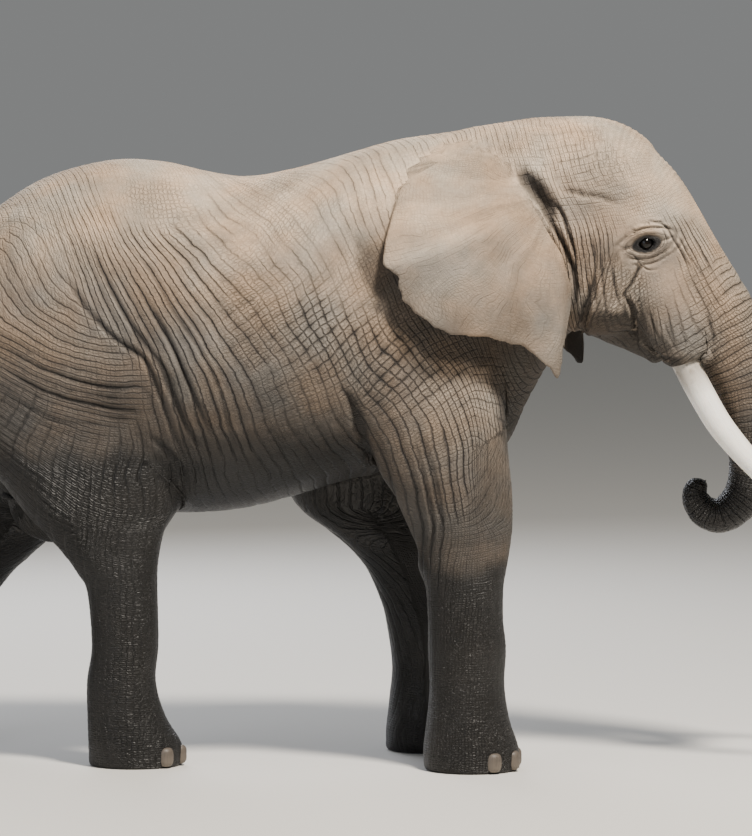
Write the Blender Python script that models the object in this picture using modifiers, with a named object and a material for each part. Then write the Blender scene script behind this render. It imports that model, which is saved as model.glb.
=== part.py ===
"""African savanna elephant, a wading bull, as a life-size still model.

The animal faces +X and stands on Z = 0, in metres. The flesh is a set of lofts
(rings carried along a line) and swells, melted into one smooth solid, then parted
by thin flat cuts where a person would name a part. Ears, eyes, tusks, toenails
and tail are solids of their own, each 0.3 mm clear of the flesh around it.
"""

import math

import bmesh
import bpy
import numpy as np
from mathutils import Matrix, Vector

# ---------------------------------------------------------------- driving sizes
GAP = 0.0003                # clear space between neighbouring solids
CUT = 0.0004                # thickness of a parting cut
VOXEL = 0.024               # grid that melts the lofts together
FLESH_TRIANGLES = 3350      # flesh of the whole animal
FORWARD_SHIFT = 0.044       # puts the middle of the length over the origin
LIMB_BLEND = 0.05           # rounding where a leg leaves the body
FACE_BLEND = 0.03           # rounding between the forms of the head
PART_BLEND = 0.035          # rounding between head, body and tail

EYE_AT = (1.412, 2.591)     # forward, up
EYE_RADIUS = 0.027
EYE_PROUD = 0.010

NAIL_HEIGHT = 0.056
NAIL_SIZE = (0.020, 0.043, 0.048)     # half depth, half width, half height
FORE_NAILS = (-56, -19, 19, 56)       # degrees from straight ahead
HIND_NAILS = (-40, 0, 40)

SIDEWAYS = np.array([0.0, 1.0, 0.0])

# ---------------------------------------------------------------- stations
# Torso: forward, back line, widest height, belly line, half width.
TORSO_STATIONS = [
    (-2.230, 2.140, 2.10, 2.060, 0.020),
    (-2.205, 2.270, 2.10, 1.900, 0.140),
    (-2.155, 2.410, 2.10, 1.720, 0.270),
    (-2.080, 2.540, 2.10, 1.570, 0.380),
    (-1.955, 2.675, 2.10, 1.430, 0.480),
    (-1.800, 2.800, 2.10, 1.340, 0.560),
    (-1.585, 2.925, 2.08, 1.280, 0.620),
    (-1.285, 3.000, 2.06, 1.245, 0.665),
    (-1.035, 2.995, 2.04, 1.235, 0.700),
    (-0.800, 2.947, 2.02, 1.235, 0.730),
    (-0.585, 2.922, 2.02, 1.260, 0.745),
    (-0.335, 2.965, 2.05, 1.325, 0.735),
    (-0.085, 3.035, 2.10, 1.400, 0.690),
    (0.165, 3.105, 2.16, 1.440, 0.620),
    (0.400, 3.140, 2.22, 1.430, 0.540),
    (0.600, 3.155, 2.30, 1.470, 0.480),
    (0.720, 3.155, 2.36, 1.600, 0.440),
    (0.820, 3.150, 2.44, 1.820, 0.410),
    (0.930, 3.120, 2.50, 2.020, 0.370),
    (1.050, 3.020, 2.55, 2.200, 0.300),
]

# Head and trunk, crown to finger: forward, side, up, half width, front, back.
HEAD_STATIONS = [
    (0.670, 0, 2.675, 0.360, 0.470, 0.450),
    (0.945, 0, 2.740, 0.385, 0.472, 0.500),
    (1.170, 0, 2.765, 0.385, 0.432, 0.480),
    (1.290, 0, 2.735, 0.380, 0.355, 0.420),
    (1.400, 0, 2.665, 0.355, 0.283, 0.350),
    (1.585, 0, 2.450, 0.295, 0.222, 0.280),
    (1.745, 0, 2.200, 0.245, 0.212, 0.220),
    (1.870, 0, 1.975, 0.210, 0.200, 0.190),
    (1.930, 0, 1.750, 0.180, 0.165, 0.160),
    (1.940, 0, 1.575, 0.155, 0.143, 0.140),
    (1.915, 0, 1.425, 0.135, 0.122, 0.112),
    (1.860, 0, 1.315, 0.122, 0.112, 0.092),
    (1.775, 0, 1.250, 0.110, 0.105, 0.078),
    (1.695, 0, 1.268, 0.095, 0.095, 0.068),
    (1.652, 0, 1.335, 0.080, 0.078, 0.058),
    (1.668, 0, 1.400, 0.060, 0.058, 0.045),
]

JAW_STATIONS = [
    (1.080, 0, 2.420, 0.240, 0.200, 0.240),
    (1.200, 0, 2.280, 0.210, 0.170, 0.170),
    (1.320, 0, 2.180, 0.160, 0.140, 0.130),
    (1.410, 0, 2.090, 0.105, 0.100, 0.085),
    (1.460, 0, 2.020, 0.060, 0.060, 0.045),
]

# The swelling over a tusk's root, left side; the right is its mirror image.
SHEATH_STATIONS = [
    (1.360, 0.170, 2.560, 0.120, 0.140, 0.140),
    (1.470, 0.195, 2.360, 0.140, 0.155, 0.155),
    (1.545, 0.205, 2.170, 0.130, 0.140, 0.135),
    (1.590, 0.210, 2.040, 0.105, 0.110, 0.105),
]

# Legs, hip or shoulder to sole: forward, side, up, half width, front, back.
RIGHT_FORELEG = [
    (0.285, -0.340, 2.45, 0.130, 0.260, 0.260),
    (0.305, -0.380, 2.15, 0.190, 0.330, 0.330),
    (0.365, -0.410, 1.80, 0.210, 0.350, 0.360),
    (0.420, -0.420, 1.505, 0.200, 0.325, 0.325),
    (0.465, -0.410, 1.365, 0.195, 0.293, 0.293),
    (0.498, -0.405, 1.215, 0.187, 0.261, 0.261),
    (0.5175, -0.400, 1.095, 0.180, 0.228, 0.228),
    (0.513, -0.400, 1.000, 0.177, 0.218, 0.218),
    (0.5225, -0.400, 0.900, 0.172, 0.193, 0.193),
    (0.527, -0.395, 0.750, 0.172, 0.188, 0.188),
    (0.532, -0.390, 0.600, 0.182, 0.198, 0.192),
    (0.535, -0.385, 0.420, 0.178, 0.185, 0.185),
    (0.540, -0.385, 0.250, 0.200, 0.205, 0.205),
    (0.550, -0.385, 0.110, 0.230, 0.240, 0.232),
    (0.552, -0.385, 0.030, 0.230, 0.238, 0.232),
    (0.553, -0.385, -0.050, 0.200, 0.205, 0.200),
]
LEFT_FORELEG = [
    (0.215, 0.340, 2.45, 0.130, 0.260, 0.260),
    (0.165, 0.380, 2.15, 0.190, 0.330, 0.330),
    (0.055, 0.410, 1.80, 0.210, 0.350, 0.360),
    (-0.035, 0.420, 1.505, 0.200, 0.320, 0.370),
    (-0.035, 0.410, 1.310, 0.195, 0.280, 0.390),
    (0.005, 0.405, 1.210, 0.187, 0.260, 0.370),
    (0.065, 0.400, 1.120, 0.180, 0.235, 0.310),
    (0.125, 0.400, 1.020, 0.177, 0.215, 0.245),
    (0.175, 0.400, 0.910, 0.172, 0.195, 0.205),
    (0.230, 0.395, 0.750, 0.172, 0.190, 0.188),
    (0.268, 0.390, 0.600, 0.182, 0.198, 0.192),
    (0.280, 0.385, 0.420, 0.178, 0.185, 0.185),
    (0.285, 0.385, 0.250, 0.200, 0.205, 0.205),
    (0.295, 0.385, 0.110, 0.230, 0.240, 0.232),
    (0.297, 0.385, 0.030, 0.230, 0.238, 0.232),
    (0.298, 0.385, -0.050, 0.200, 0.205, 0.200),
]
RIGHT_HINDLEG = [
    (-1.487, -0.300, 2.45, 0.200, 0.360, 0.360),
    (-1.517, -0.360, 2.10, 0.250, 0.460, 0.480),
    (-1.527, -0.390, 1.80, 0.250, 0.490, 0.500),
    (-1.417, -0.400, 1.55, 0.235, 0.470, 0.470),
    (-1.327, -0.400, 1.40, 0.220, 0.440, 0.440),
    (-1.2895, -0.395, 1.25, 0.200, 0.3675, 0.3675),
    (-1.267, -0.390, 1.155, 0.185, 0.300, 0.300),
    (-1.227, -0.385, 1.040, 0.175, 0.236, 0.236),
    (-1.202, -0.380, 0.955, 0.168, 0.202, 0.202),
    (-1.179, -0.375, 0.860, 0.162, 0.177, 0.177),
    (-1.167, -0.370, 0.600, 0.158, 0.168, 0.168),
    (-1.177, -0.365, 0.420, 0.165, 0.165, 0.185),
    (-1.162, -0.360, 0.250, 0.185, 0.195, 0.200),
    (-1.132, -0.360, 0.110, 0.210, 0.245, 0.225),
    (-1.127, -0.360, 0.030, 0.210, 0.242, 0.225),
    (-1.127, -0.360, -0.050, 0.180, 0.210, 0.195),
]
LEFT_HINDLEG = [
    (-1.583, 0.300, 2.45, 0.200, 0.360, 0.360),
    (-1.653, 0.360, 2.10, 0.250, 0.470, 0.470),
    (-1.703, 0.390, 1.80, 0.250, 0.480, 0.460),
    (-1.683, 0.400, 1.55, 0.235, 0.450, 0.440),
    (-1.703, 0.400, 1.40, 0.220, 0.410, 0.400),
    (-1.763, 0.395, 1.25, 0.200, 0.350, 0.350),
    (-1.823, 0.390, 1.155, 0.185, 0.290, 0.290),
    (-1.903, 0.385, 1.050, 0.175, 0.235, 0.235),
    (-1.973, 0.380, 0.960, 0.168, 0.202, 0.202),
    (-2.053, 0.375, 0.860, 0.162, 0.180, 0.180),
    (-2.205, 0.370, 0.620, 0.158, 0.168, 0.168),
    (-2.270, 0.365, 0.420, 0.165, 0.165, 0.180),
    (-2.275, 0.360, 0.250, 0.185, 0.195, 0.200),
    (-2.250, 0.360, 0.110, 0.210, 0.245, 0.225),
    (-2.245, 0.360, 0.030, 0.210, 0.242, 0.225),
    (-2.245, 0.360, -0.050, 0.180, 0.210, 0.195),
]

# Ear, root to rim: rim forward, up, side; root forward, up, lift off the flesh.
EAR_STATIONS = [
    (0.720, 3.020, 0.200, 0.790, 2.960, -0.060),
    (0.610, 3.110, 0.220, 0.780, 2.955, -0.050),
    (0.500, 3.155, 0.255, 0.775, 2.945, -0.040),
    (0.346, 3.061, 0.360, 0.780, 2.925, -0.020),
    (0.226, 2.915, 0.500, 0.800, 2.890, 0.005),
    (0.175, 2.738, 0.650, 0.830, 2.840, 0.022),
    (0.144, 2.512, 0.740, 0.863, 2.790, 0.030),
    (0.203, 2.440, 0.750, 0.888, 2.745, 0.030),
    (0.257, 2.315, 0.760, 0.916, 2.695, 0.030),
    (0.412, 2.184, 0.750, 0.943, 2.642, 0.020),
    (0.640, 2.138, 0.680, 0.975, 2.590, 0.005),
    (0.792, 2.102, 0.620, 1.002, 2.545, -0.010),
    (0.910, 2.022, 0.560, 1.014, 2.502, -0.025),
    (0.986, 1.936, 0.500, 1.023, 2.465, -0.035),
    (1.012, 2.080, 0.440, 1.032, 2.435, -0.045),
    (1.030, 2.201, 0.400, 1.040, 2.410, -0.050),
    (1.046, 2.290, 0.360, 1.048, 2.388, -0.060),
]
EAR_RIDGE = [(0.70, 3.05), (0.74, 2.90), (0.805, 2.75), (0.865, 2.61), (0.92, 2.47), (0.95, 2.38)]

# Left tusk, root to tip: forward, side, up, radius.
TUSK_STATIONS = [
    (1.505, 0.170, 2.210, 0.0660),
    (1.587, 0.200, 2.027, 0.0675),
    (1.690, 0.220, 1.830, 0.0660),
    (1.790, 0.238, 1.672, 0.0630),
    (1.965, 0.265, 1.475, 0.0530),
    (2.130, 0.290, 1.330, 0.0400),
    (2.270, 0.308, 1.235, 0.0260),
    (2.350, 0.317, 1.192, 0.0150),
    (2.385, 0.320, 1.175, 0.0060),
]

TAIL_STATIONS = [
    (-2.02, 0, 2.55, 0.120, 0.100, 0.100),
    (-2.16, 0, 2.46, 0.090, 0.085, 0.085),
    (-2.27, 0, 2.30, 0.062, 0.062, 0.062),
    (-2.325, 0, 2.08, 0.048, 0.050, 0.050),
    (-2.345, 0, 1.80, 0.036, 0.040, 0.040),
    (-2.345, 0, 1.50, 0.028, 0.033, 0.033),
    (-2.335, 0, 1.26, 0.022, 0.028, 0.028),
]
TUFT_STATIONS = [
    (-2.338, 0, 1.32, 0.030, 0.036, 0.036),
    (-2.335, 0, 1.22, 0.030, 0.055, 0.055),
    (-2.330, 0, 1.08, 0.026, 0.065, 0.065),
    (-2.320, 0, 0.94, 0.018, 0.050, 0.050),
    (-2.310, 0, 0.84, 0.010, 0.022, 0.022),
]


# ---------------------------------------------------------------- lofts
def unit(v):
    """Vectors scaled to length one."""
    return v / np.maximum(np.linalg.norm(v, axis=-1, keepdims=True), 1e-9)


def curve(rows, count):
    """Catmull-Rom: a smooth curve through every row, read at count even steps."""
    rows = np.asarray(rows, float)
    padded = np.vstack([2 * rows[0] - rows[1], rows, 2 * rows[-1] - rows[-2]])
    along = np.linspace(0, len(rows) - 1, count)
    at = np.minimum(along.astype(int), len(rows) - 2)
    t = (along - at)[:, None]
    a, b, c, d = (padded[at + k] for k in range(4))
    cubic = (3 * b - a - 3 * c + d) * t**3
    return 0.5 * (2 * b + (c - a) * t + (2 * a - 5 * b + 4 * c - d) * t**2 + cubic)


def limb(rows, count=64, power=2.0, plane=None):
    """A loft: rows of forward, side, up, half width, front and back half sizes.

    Rings stand square to the path. Plane 0 keeps them upright across X instead,
    and plane 2 keeps them level. A ring is a superellipse of the given power.
    """
    c = curve(rows, count)
    path, sizes = c[:, :3], np.maximum(c[:, 3:], 0.01)
    if plane is None:
        ahead = unit(np.gradient(path, axis=0))
    else:
        ahead = np.zeros_like(path)
        ahead[:, plane] = 1.0 if plane == 0 else -1.0
    facing = unit(np.cross(ahead, SIDEWAYS))
    return {"path": path, "ahead": ahead, "facing": facing, "sizes": sizes, "power": power, "plane": plane}


def barrel(rows, count=90, power=2.1):
    """The torso's loft, from rows of forward, top, widest height, bottom, half width."""
    x, top, middle, bottom, side = np.asarray(rows, float).T
    table = np.stack([x, 0 * x, middle, side, top - middle, middle - bottom], axis=1)
    return limb(table, count, power, plane=0)


def swell(centre, radii, turn=0.0):
    """An ellipsoid, its nose turned down by that many degrees."""
    return {"centre": np.array(centre, float), "radii": np.array(radii, float), "turn": math.radians(turn)}


TORSO = barrel(TORSO_STATIONS)
HEAD = limb(HEAD_STATIONS, 110, 2.15)
JAW = limb(JAW_STATIONS, 24)
SHEATH = limb(SHEATH_STATIONS, 24)
LEGS = [limb(rows, plane=2) for rows in (RIGHT_FORELEG, LEFT_FORELEG, RIGHT_HINDLEG, LEFT_HINDLEG)]
TAIL = limb(TAIL_STATIONS, 48)

BODY_SWELLS = [
    swell((0.24, 0.42, 2.25), (0.26, 0.19, 0.50), 10),      # shoulder blade
    swell((-1.42, 0.40, 2.45), (0.34, 0.20, 0.30)),         # hip
]
HEAD_SWELLS = [
    swell((1.17, 0.19, 2.42), (0.27, 0.19, 0.28)),          # jaw muscle
    swell((1.12, 0.25, 2.56), (0.28, 0.12, 0.10)),          # cheek bone
    swell((1.39, 0.235, 2.67), (0.15, 0.115, 0.085), 35),   # brow
]
CROWN = swell((1.12, 0, 2.93), (0.30, 0.27, 0.255))
GROIN = swell((-1.56, 0, 1.26), (0.24, 0.10, 0.19))


def ring_faces(rings, around):
    """Quads between neighbouring rings, and one flat face on each end."""
    k = np.arange(around)
    start = (np.arange(rings - 1) * around)[:, None]
    ahead = np.roll(k, -1)
    quads = np.stack([start + k, start + ahead, start + around + ahead, start + around + k], axis=-1)
    caps = [k[::-1].tolist(), (k + (rings - 1) * around).tolist()]
    return quads.reshape(-1, 4).tolist() + caps


def limb_surface(part, around=40):
    """Each ring: path + half width x c(angle) sideways + front or back x s(angle) facing.

    c and s are the cosine and sine raised to 2 / power, keeping their signs.
    """
    turn = np.linspace(0, 2 * np.pi, around, endpoint=False)
    cos, sin = np.cos(turn), np.sin(turn)
    e = 2 / part["power"]
    u, v = np.sign(cos) * np.abs(cos) ** e, np.sign(sin) * np.abs(sin) ** e
    side, front, back = part["sizes"].T[:, :, None]
    points = part["path"][:, None] + (side * u)[..., None] * SIDEWAYS
    points = points + (np.where(v > 0, front, back) * v)[..., None] * part["facing"][:, None]
    return points.reshape(-1, 3), ring_faces(len(points), around)


def swell_surface(part, around=32, rings=14):
    """Latitude and longitude on the ellipsoid, without its two poles, turned and placed."""
    latitude = np.linspace(-np.pi / 2, np.pi / 2, rings + 2)[1:-1, None]
    longitude = np.linspace(0, 2 * np.pi, around, endpoint=False)
    ball = np.stack(np.broadcast_arrays(
        np.cos(latitude) * np.cos(longitude), np.cos(latitude) * np.sin(longitude), np.sin(latitude),
    ), axis=-1) * part["radii"]
    c, s = math.cos(part["turn"]), math.sin(part["turn"])
    turned = np.stack([ball[..., 0] * c + ball[..., 2] * s, ball[..., 1],
                       ball[..., 2] * c - ball[..., 0] * s], axis=-1)
    return (turned + part["centre"]).reshape(-1, 3), ring_faces(rings, around)


# ---------------------------------------------------------------- distance to the flesh
def limb_depth(part, p):
    """How far points lie outside a loft, measured along the ray from its centre line."""
    path, ahead, facing, sizes = part["path"], part["ahead"], part["facing"], part["sizes"]
    reach = sizes.max() + 0.35
    near = np.all((p > path.min(0) - reach) & (p < path.max(0) + reach), axis=1)
    out = np.full(len(p), 9.0)
    q = p[near]
    if not len(q):
        return out
    last = len(path) - 1
    if part["plane"] is None:
        span = (path**2).sum(1) - 2 * q @ path.T
        at = span.argmin(1)
        step = np.linalg.norm(np.gradient(path, axis=0), axis=1)
        shift = ((q - path[at]) * ahead[at]).sum(1) / step[at]
        s = np.clip(at + np.clip(shift, -0.7, 0.7), 0, last)
    else:
        axis = part["plane"]
        sign = ahead[0, axis]
        s = np.interp(sign * q[:, axis], sign * path[:, axis], np.arange(last + 1))
    i = np.minimum(s.astype(int), last - 1)
    t = (s - i)[:, None]
    centre, size = path[i] * (1 - t) + path[i + 1] * t, sizes[i] * (1 - t) + sizes[i + 1] * t
    up, tangent = unit(facing[i] * (1 - t) + facing[i + 1] * t), unit(ahead[i] * (1 - t) + ahead[i + 1] * t)
    d = q - centre
    u, v, w = d @ SIDEWAYS, (d * up).sum(1), (d * tangent).sum(1)
    k = part["power"]
    rho = (np.abs(u / size[:, 0]) ** k + np.abs(v / np.where(v > 0, size[:, 1], size[:, 2])) ** k) ** (1 / k)
    w = np.where((s <= 0) | (s >= last), w, 0)
    rho = np.sqrt(rho**2 + (2 * w / size.min(1)) ** 2)
    out[near] = np.sqrt(u**2 + v**2 + w**2) * (1 - 1 / np.maximum(rho, 0.02))
    return out


def swell_depth(part, p):
    """How far points lie outside an ellipsoid, along the ray from its centre."""
    d = p - part["centre"]
    c, s = math.cos(part["turn"]), math.sin(part["turn"])
    q = np.stack([d[:, 0] * c - d[:, 2] * s, d[:, 1], d[:, 0] * s + d[:, 2] * c], axis=1)
    rho = np.linalg.norm(q / part["radii"], axis=1)
    return np.linalg.norm(q, axis=1) * (1 - 1 / np.maximum(rho, 0.02))


def merge(depths, blend):
    """Smooth union: the least depth, rounded over about the blend's length."""
    d = np.stack(depths)
    low = d.min(0)
    return low - blend * np.log(np.exp((low - d) / blend).sum(0))


def flesh_depth(p, ridge=True):
    """Negative inside the flesh, positive outside, zero on the skin."""
    m = p * [1, 0, 1] + np.abs(p) * [0, 1, 0]
    body = merge([limb_depth(part, p) for part in [TORSO] + LEGS]
                 + [swell_depth(part, m) for part in BODY_SWELLS]
                 + [swell_depth(GROIN, p)], LIMB_BLEND)
    head = merge([limb_depth(HEAD, p), limb_depth(JAW, p), limb_depth(SHEATH, m), swell_depth(CROWN, p)]
                 + [swell_depth(part, m) for part in HEAD_SWELLS], FACE_BLEND)
    forms = [body, head, limb_depth(TAIL, p)]
    if ridge:
        forms.append(limb_depth(RIDGE, m))
    return np.maximum(merge(forms, PART_BLEND), -p[:, 2])


def skin_side(x, z, ridge=True):
    """The half width of the flesh at places (x, z): its last crossing going sideways."""
    y = np.linspace(0, 0.95, 77)
    shape = np.broadcast_shapes(np.shape(x), np.shape(z))
    x, z = np.broadcast_to(x, shape).ravel(), np.broadcast_to(z, shape).ravel()
    grid = np.stack(np.broadcast_arrays(x[:, None], y[None], z[:, None]), axis=-1)
    d = flesh_depth(grid.reshape(-1, 3), ridge).reshape(len(x), len(y))
    inside = d < 0
    last = np.where(inside.any(1), len(y) - 1 - inside[:, ::-1].argmax(1), 0)
    after = np.minimum(last + 1, len(y) - 1)
    row = np.arange(len(x))
    a, b = d[row, last], d[row, after]
    t = np.where(inside.any(1), np.clip(a / (a - b - 1e-9), 0, 1), 0)
    return (y[last] + t * (y[after] - y[last])).reshape(shape)


ridge_x, ridge_z = np.array(EAR_RIDGE).T
RIDGE = limb(np.stack([ridge_x, skin_side(ridge_x, ridge_z, ridge=False) - 0.01, ridge_z,
                       0 * ridge_x + 0.045, 0 * ridge_x + 0.05, 0 * ridge_x + 0.05], axis=1), 32)


# ---------------------------------------------------------------- meshes
def mesh_object(name, points, faces):
    """A new object of those points and faces, in the model's collection."""
    mesh = bpy.data.meshes.new(name)
    mesh.from_pydata(np.asarray(points).tolist(), [], faces)
    mesh.update()
    obj = bpy.data.objects.new(name, mesh)
    MODEL.objects.link(obj)
    return obj


def points_of(mesh):
    """The mesh's vertex places, as rows."""
    out = np.empty(len(mesh.vertices) * 3, np.float32)
    mesh.vertices.foreach_get("co", out)
    return out.reshape(-1, 3).astype(float)


def normals_of(mesh):
    """The mesh's vertex normals, as rows."""
    out = np.empty(len(mesh.vertices) * 3, np.float32)
    mesh.vertex_normals.foreach_get("vector", out)
    return out.reshape(-1, 3).astype(float)


def move_points(mesh, points):
    """Puts every vertex at its new place."""
    mesh.vertices.foreach_set("co", points.astype(np.float32).ravel())
    mesh.update()


def drop(obj):
    """Removes an object and its mesh."""
    mesh = obj.data
    bpy.data.objects.remove(obj)
    bpy.data.meshes.remove(mesh)


def modified(obj, kind, **settings):
    """Adds a modifier and makes its result the object's own mesh."""
    modifier = obj.modifiers.new(kind.title(), kind)
    for name, value in settings.items():
        setattr(modifier, name, value)
    graph = bpy.context.evaluated_depsgraph_get()
    mesh = bpy.data.meshes.new_from_object(obj.evaluated_get(graph))
    obj.modifiers.clear()
    old, obj.data = obj.data, mesh
    bpy.data.meshes.remove(old)
    return obj


def cut_away(obj, cutter):
    """The object less the cutter's space, by Blender's exact Boolean."""
    return modified(obj, "BOOLEAN", operation="DIFFERENCE", solver="EXACT", object=cutter)


def triangulated(obj):
    """Splits every face into triangles, so a flat face stays flat when written."""
    bm = bmesh.new()
    bm.from_mesh(obj.data)
    bmesh.ops.triangulate(bm, faces=bm.faces[:])
    bm.to_mesh(obj.data)
    bm.free()
    return obj


def settle(obj, rounds=5, probe=0.004):
    """Moves each vertex along its normal until it lies on the skin."""
    for _ in range(rounds):
        p, n = points_of(obj.data), normals_of(obj.data)
        here = flesh_depth(p)
        slope = np.clip((flesh_depth(p + probe * n) - here) / probe, 0.35, 2.0)
        move_points(obj.data, p - np.clip(here / slope, -0.05, 0.05)[:, None] * n)


def flesh():
    """All lofts and swells as closed shells, melted on a voxel grid and settled."""
    shells = [limb_surface(part) for part in [TORSO, HEAD, JAW, TAIL] + LEGS]
    shells += [swell_surface(CROWN), swell_surface(GROIN)]
    paired = [limb_surface(SHEATH), limb_surface(RIDGE)]
    paired += [swell_surface(part) for part in BODY_SWELLS + HEAD_SWELLS]
    shells += paired + [(points * [1, -1, 1], [face[::-1] for face in faces]) for points, faces in paired]
    starts = np.cumsum([0] + [len(points) for points, _ in shells])
    faces = [[i + int(start) for i in face] for start, (_, rows) in zip(starts, shells) for face in rows]
    obj = mesh_object("flesh", np.vstack([points for points, _ in shells]), faces)
    modified(obj, "REMESH", mode="VOXEL", voxel_size=VOXEL)
    modified(obj, "SMOOTH", factor=0.5, iterations=6)
    settle(obj)
    modified(obj, "SMOOTH", factor=0.5, iterations=2)
    p = points_of(obj.data)
    p[p[:, 2] < 0.006, 2] = 0.0
    move_points(obj.data, p)
    count = 2 * len(obj.data.vertices)
    modified(obj, "DECIMATE", ratio=FLESH_TRIANGLES / count, use_collapse_triangulate=True)
    print("flesh", count, "triangles made", len(obj.data.polygons))
    p = points_of(obj.data)
    p[p[:, 2] < 0.006, 2] = 0.0
    move_points(obj.data, p)
    return obj


def swollen(obj, name, by):
    """A copy of the object with its surface moved out by that much."""
    points = points_of(obj.data) + by * normals_of(obj.data)
    return mesh_object(name, points, [list(face.vertices) for face in obj.data.polygons])


# ---------------------------------------------------------------- ears
def ear_surface(side, along=22, across=6):
    """A flat ring carried along the ear's root, reaching from root to rim.

    At share t of the way from root to rim the sheet stands off sideways by
    root + (rim - root) x (1 - (1 - t)^2.2), and never nearer the flesh than 3.5 cm.
    Its half thickness falls from 26 mm at the root to 8 mm at the rim, and is laid
    off straight sideways, more where the sheet leans, so the faces never cross.
    """
    c = curve(EAR_STATIONS, along)
    rim_x, rim_z, rim_y, root_x, root_z, lift = c.T[:, :, None]
    root_y = skin_side(root_x, root_z) + lift
    t = (1 - np.cos(np.linspace(0, np.pi, across))) / 2
    x, z = root_x + (rim_x - root_x) * t, root_z + (rim_z - root_z) * t
    y = root_y + (rim_y - root_y) * (1 - (1 - t) ** 2.2)
    clear = skin_side(x, z) + lift + (0.035 - lift) * np.clip(t / 0.3, 0, 1)
    y = np.maximum(y, clear)
    sheet = np.stack([x, y, z], axis=-1)
    normal = unit(np.cross(np.gradient(sheet, axis=1), np.gradient(sheet, axis=0)))
    lean = np.maximum(np.abs(normal[..., 1]), 0.45)
    thick = 0.008 + 0.004 * (1 - t) + 0.014 * np.clip(1 - t / 0.15, 0, 1)
    offset = (thick * (4 * t * (1 - t)) ** 0.2 / lean)[..., None] * SIDEWAYS
    rings = np.concatenate([sheet + offset, (sheet - offset)[:, -2:0:-1]], axis=1)
    points, faces = rings.reshape(-1, 3) * [1, side, 1], ring_faces(along, rings.shape[1])
    return points, faces if side < 0 else [face[::-1] for face in faces]


# ---------------------------------------------------------------- small solids
def tusk_surface(side, grow=0.0, rings=11, around=10):
    """Circles of the tusk's radius carried square to its centre line."""
    c = curve(TUSK_STATIONS, rings)
    path, radius = c[:, :3], np.maximum(c[:, 3:4], 0.004) + grow
    ahead = unit(np.gradient(path, axis=0))
    path[0] -= grow * ahead[0]
    path[-1] += grow * ahead[-1]
    across = unit(np.cross(ahead, np.cross(ahead, SIDEWAYS)))
    facing = np.cross(ahead, across)
    turn = np.linspace(0, 2 * np.pi, around, endpoint=False)
    points = path[:, None] + radius[..., None] * (
        np.cos(turn)[:, None] * across[:, None] + np.sin(turn)[:, None] * facing[:, None])
    faces = ring_faces(rings, around)
    faces = faces if side > 0 else [face[::-1] for face in faces]
    return points.reshape(-1, 3) * [1, side, 1], faces


def ball(name, centre, radii, turn, segments=8, rings=5, grow=0.0):
    """An ellipsoid from Blender's sphere, turned about the vertical."""
    bm = bmesh.new()
    place = Matrix.Translation(centre) @ Matrix.Rotation(turn, 4, "Z")
    place = place @ Matrix.Diagonal([r + grow for r in radii] + [1])
    bmesh.ops.create_uvsphere(bm, u_segments=segments, v_segments=rings, radius=1, matrix=place)
    mesh = bpy.data.meshes.new(name)
    bm.to_mesh(mesh)
    bm.free()
    obj = bpy.data.objects.new(name, mesh)
    MODEL.objects.link(obj)
    return obj


def nail_places():
    """Name, centre and turn of every toenail, on the front arc of its foot."""
    feet = zip(("forefoot_right", "forefoot_left", "hindfoot_right", "hindfoot_left"), LEGS)
    for foot, leg in feet:
        row = np.abs(leg["path"][:, 2] - NAIL_HEIGHT).argmin()
        centre, (side, front, _) = leg["path"][row], leg["sizes"][row]
        for number, degrees in enumerate(FORE_NAILS if foot.startswith("fore") else HIND_NAILS, 1):
            angle = math.radians(degrees)
            out = 0.995
            place = Vector((centre[0] + out * front * math.cos(angle),
                            centre[1] + out * side * math.sin(angle), NAIL_HEIGHT))
            turn = math.atan2(math.sin(angle) / side, math.cos(angle) / front)
            yield f"nail_{foot}_{number}", place, turn


# ---------------------------------------------------------------- parting
# Each cut: a point on it, its half sizes across the part, and how far its
# normal leans from straight ahead towards straight down, in degrees.
CUTS = [
    ((0.940, 0, 2.650), 0.95, 0.75, -11.0),      # head from neck
    ((0.700, 0, 2.430), 1.10, 0.75, -13.0),      # neck from torso
    ((1.870, 0, 1.975), 0.26, 0.34, 72.0),       # trunk from head
    ((1.940, 0, 1.610), 0.22, 0.25, 87.0),       # upper from middle trunk
    ((1.795, 0, 1.262), 0.145, 0.17, -35.0),     # middle trunk from tip
    ((-2.340, 0, 1.930), 0.085, 0.15, -87.0),      # tail from rump
    ((0.500, -0.45, 1.300), 0.42, 0.33, 90.0),   # forelegs at the elbow
    ((-0.060, 0.45, 1.180), 0.56, 0.33, 90.0),
    ((0.530, -0.40, 0.640), 0.30, 0.28, 90.0),   # forelegs at the wrist
    ((0.260, 0.40, 0.640), 0.30, 0.28, 90.0),
    ((0.530, -0.40, 0.290), 0.32, 0.30, 90.0),   # forefeet
    ((0.280, 0.40, 0.290), 0.32, 0.30, 90.0),
    ((-1.240, -0.40, 1.050), 0.42, 0.30, 90.0),  # hind legs below the knee
    ((-1.890, 0.40, 1.050), 0.42, 0.30, 90.0),
    ((-1.170, -0.37, 0.310), 0.30, 0.28, 90.0),  # hind feet
    ((-2.270, 0.37, 0.310), 0.30, 0.28, 90.0),
]

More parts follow.
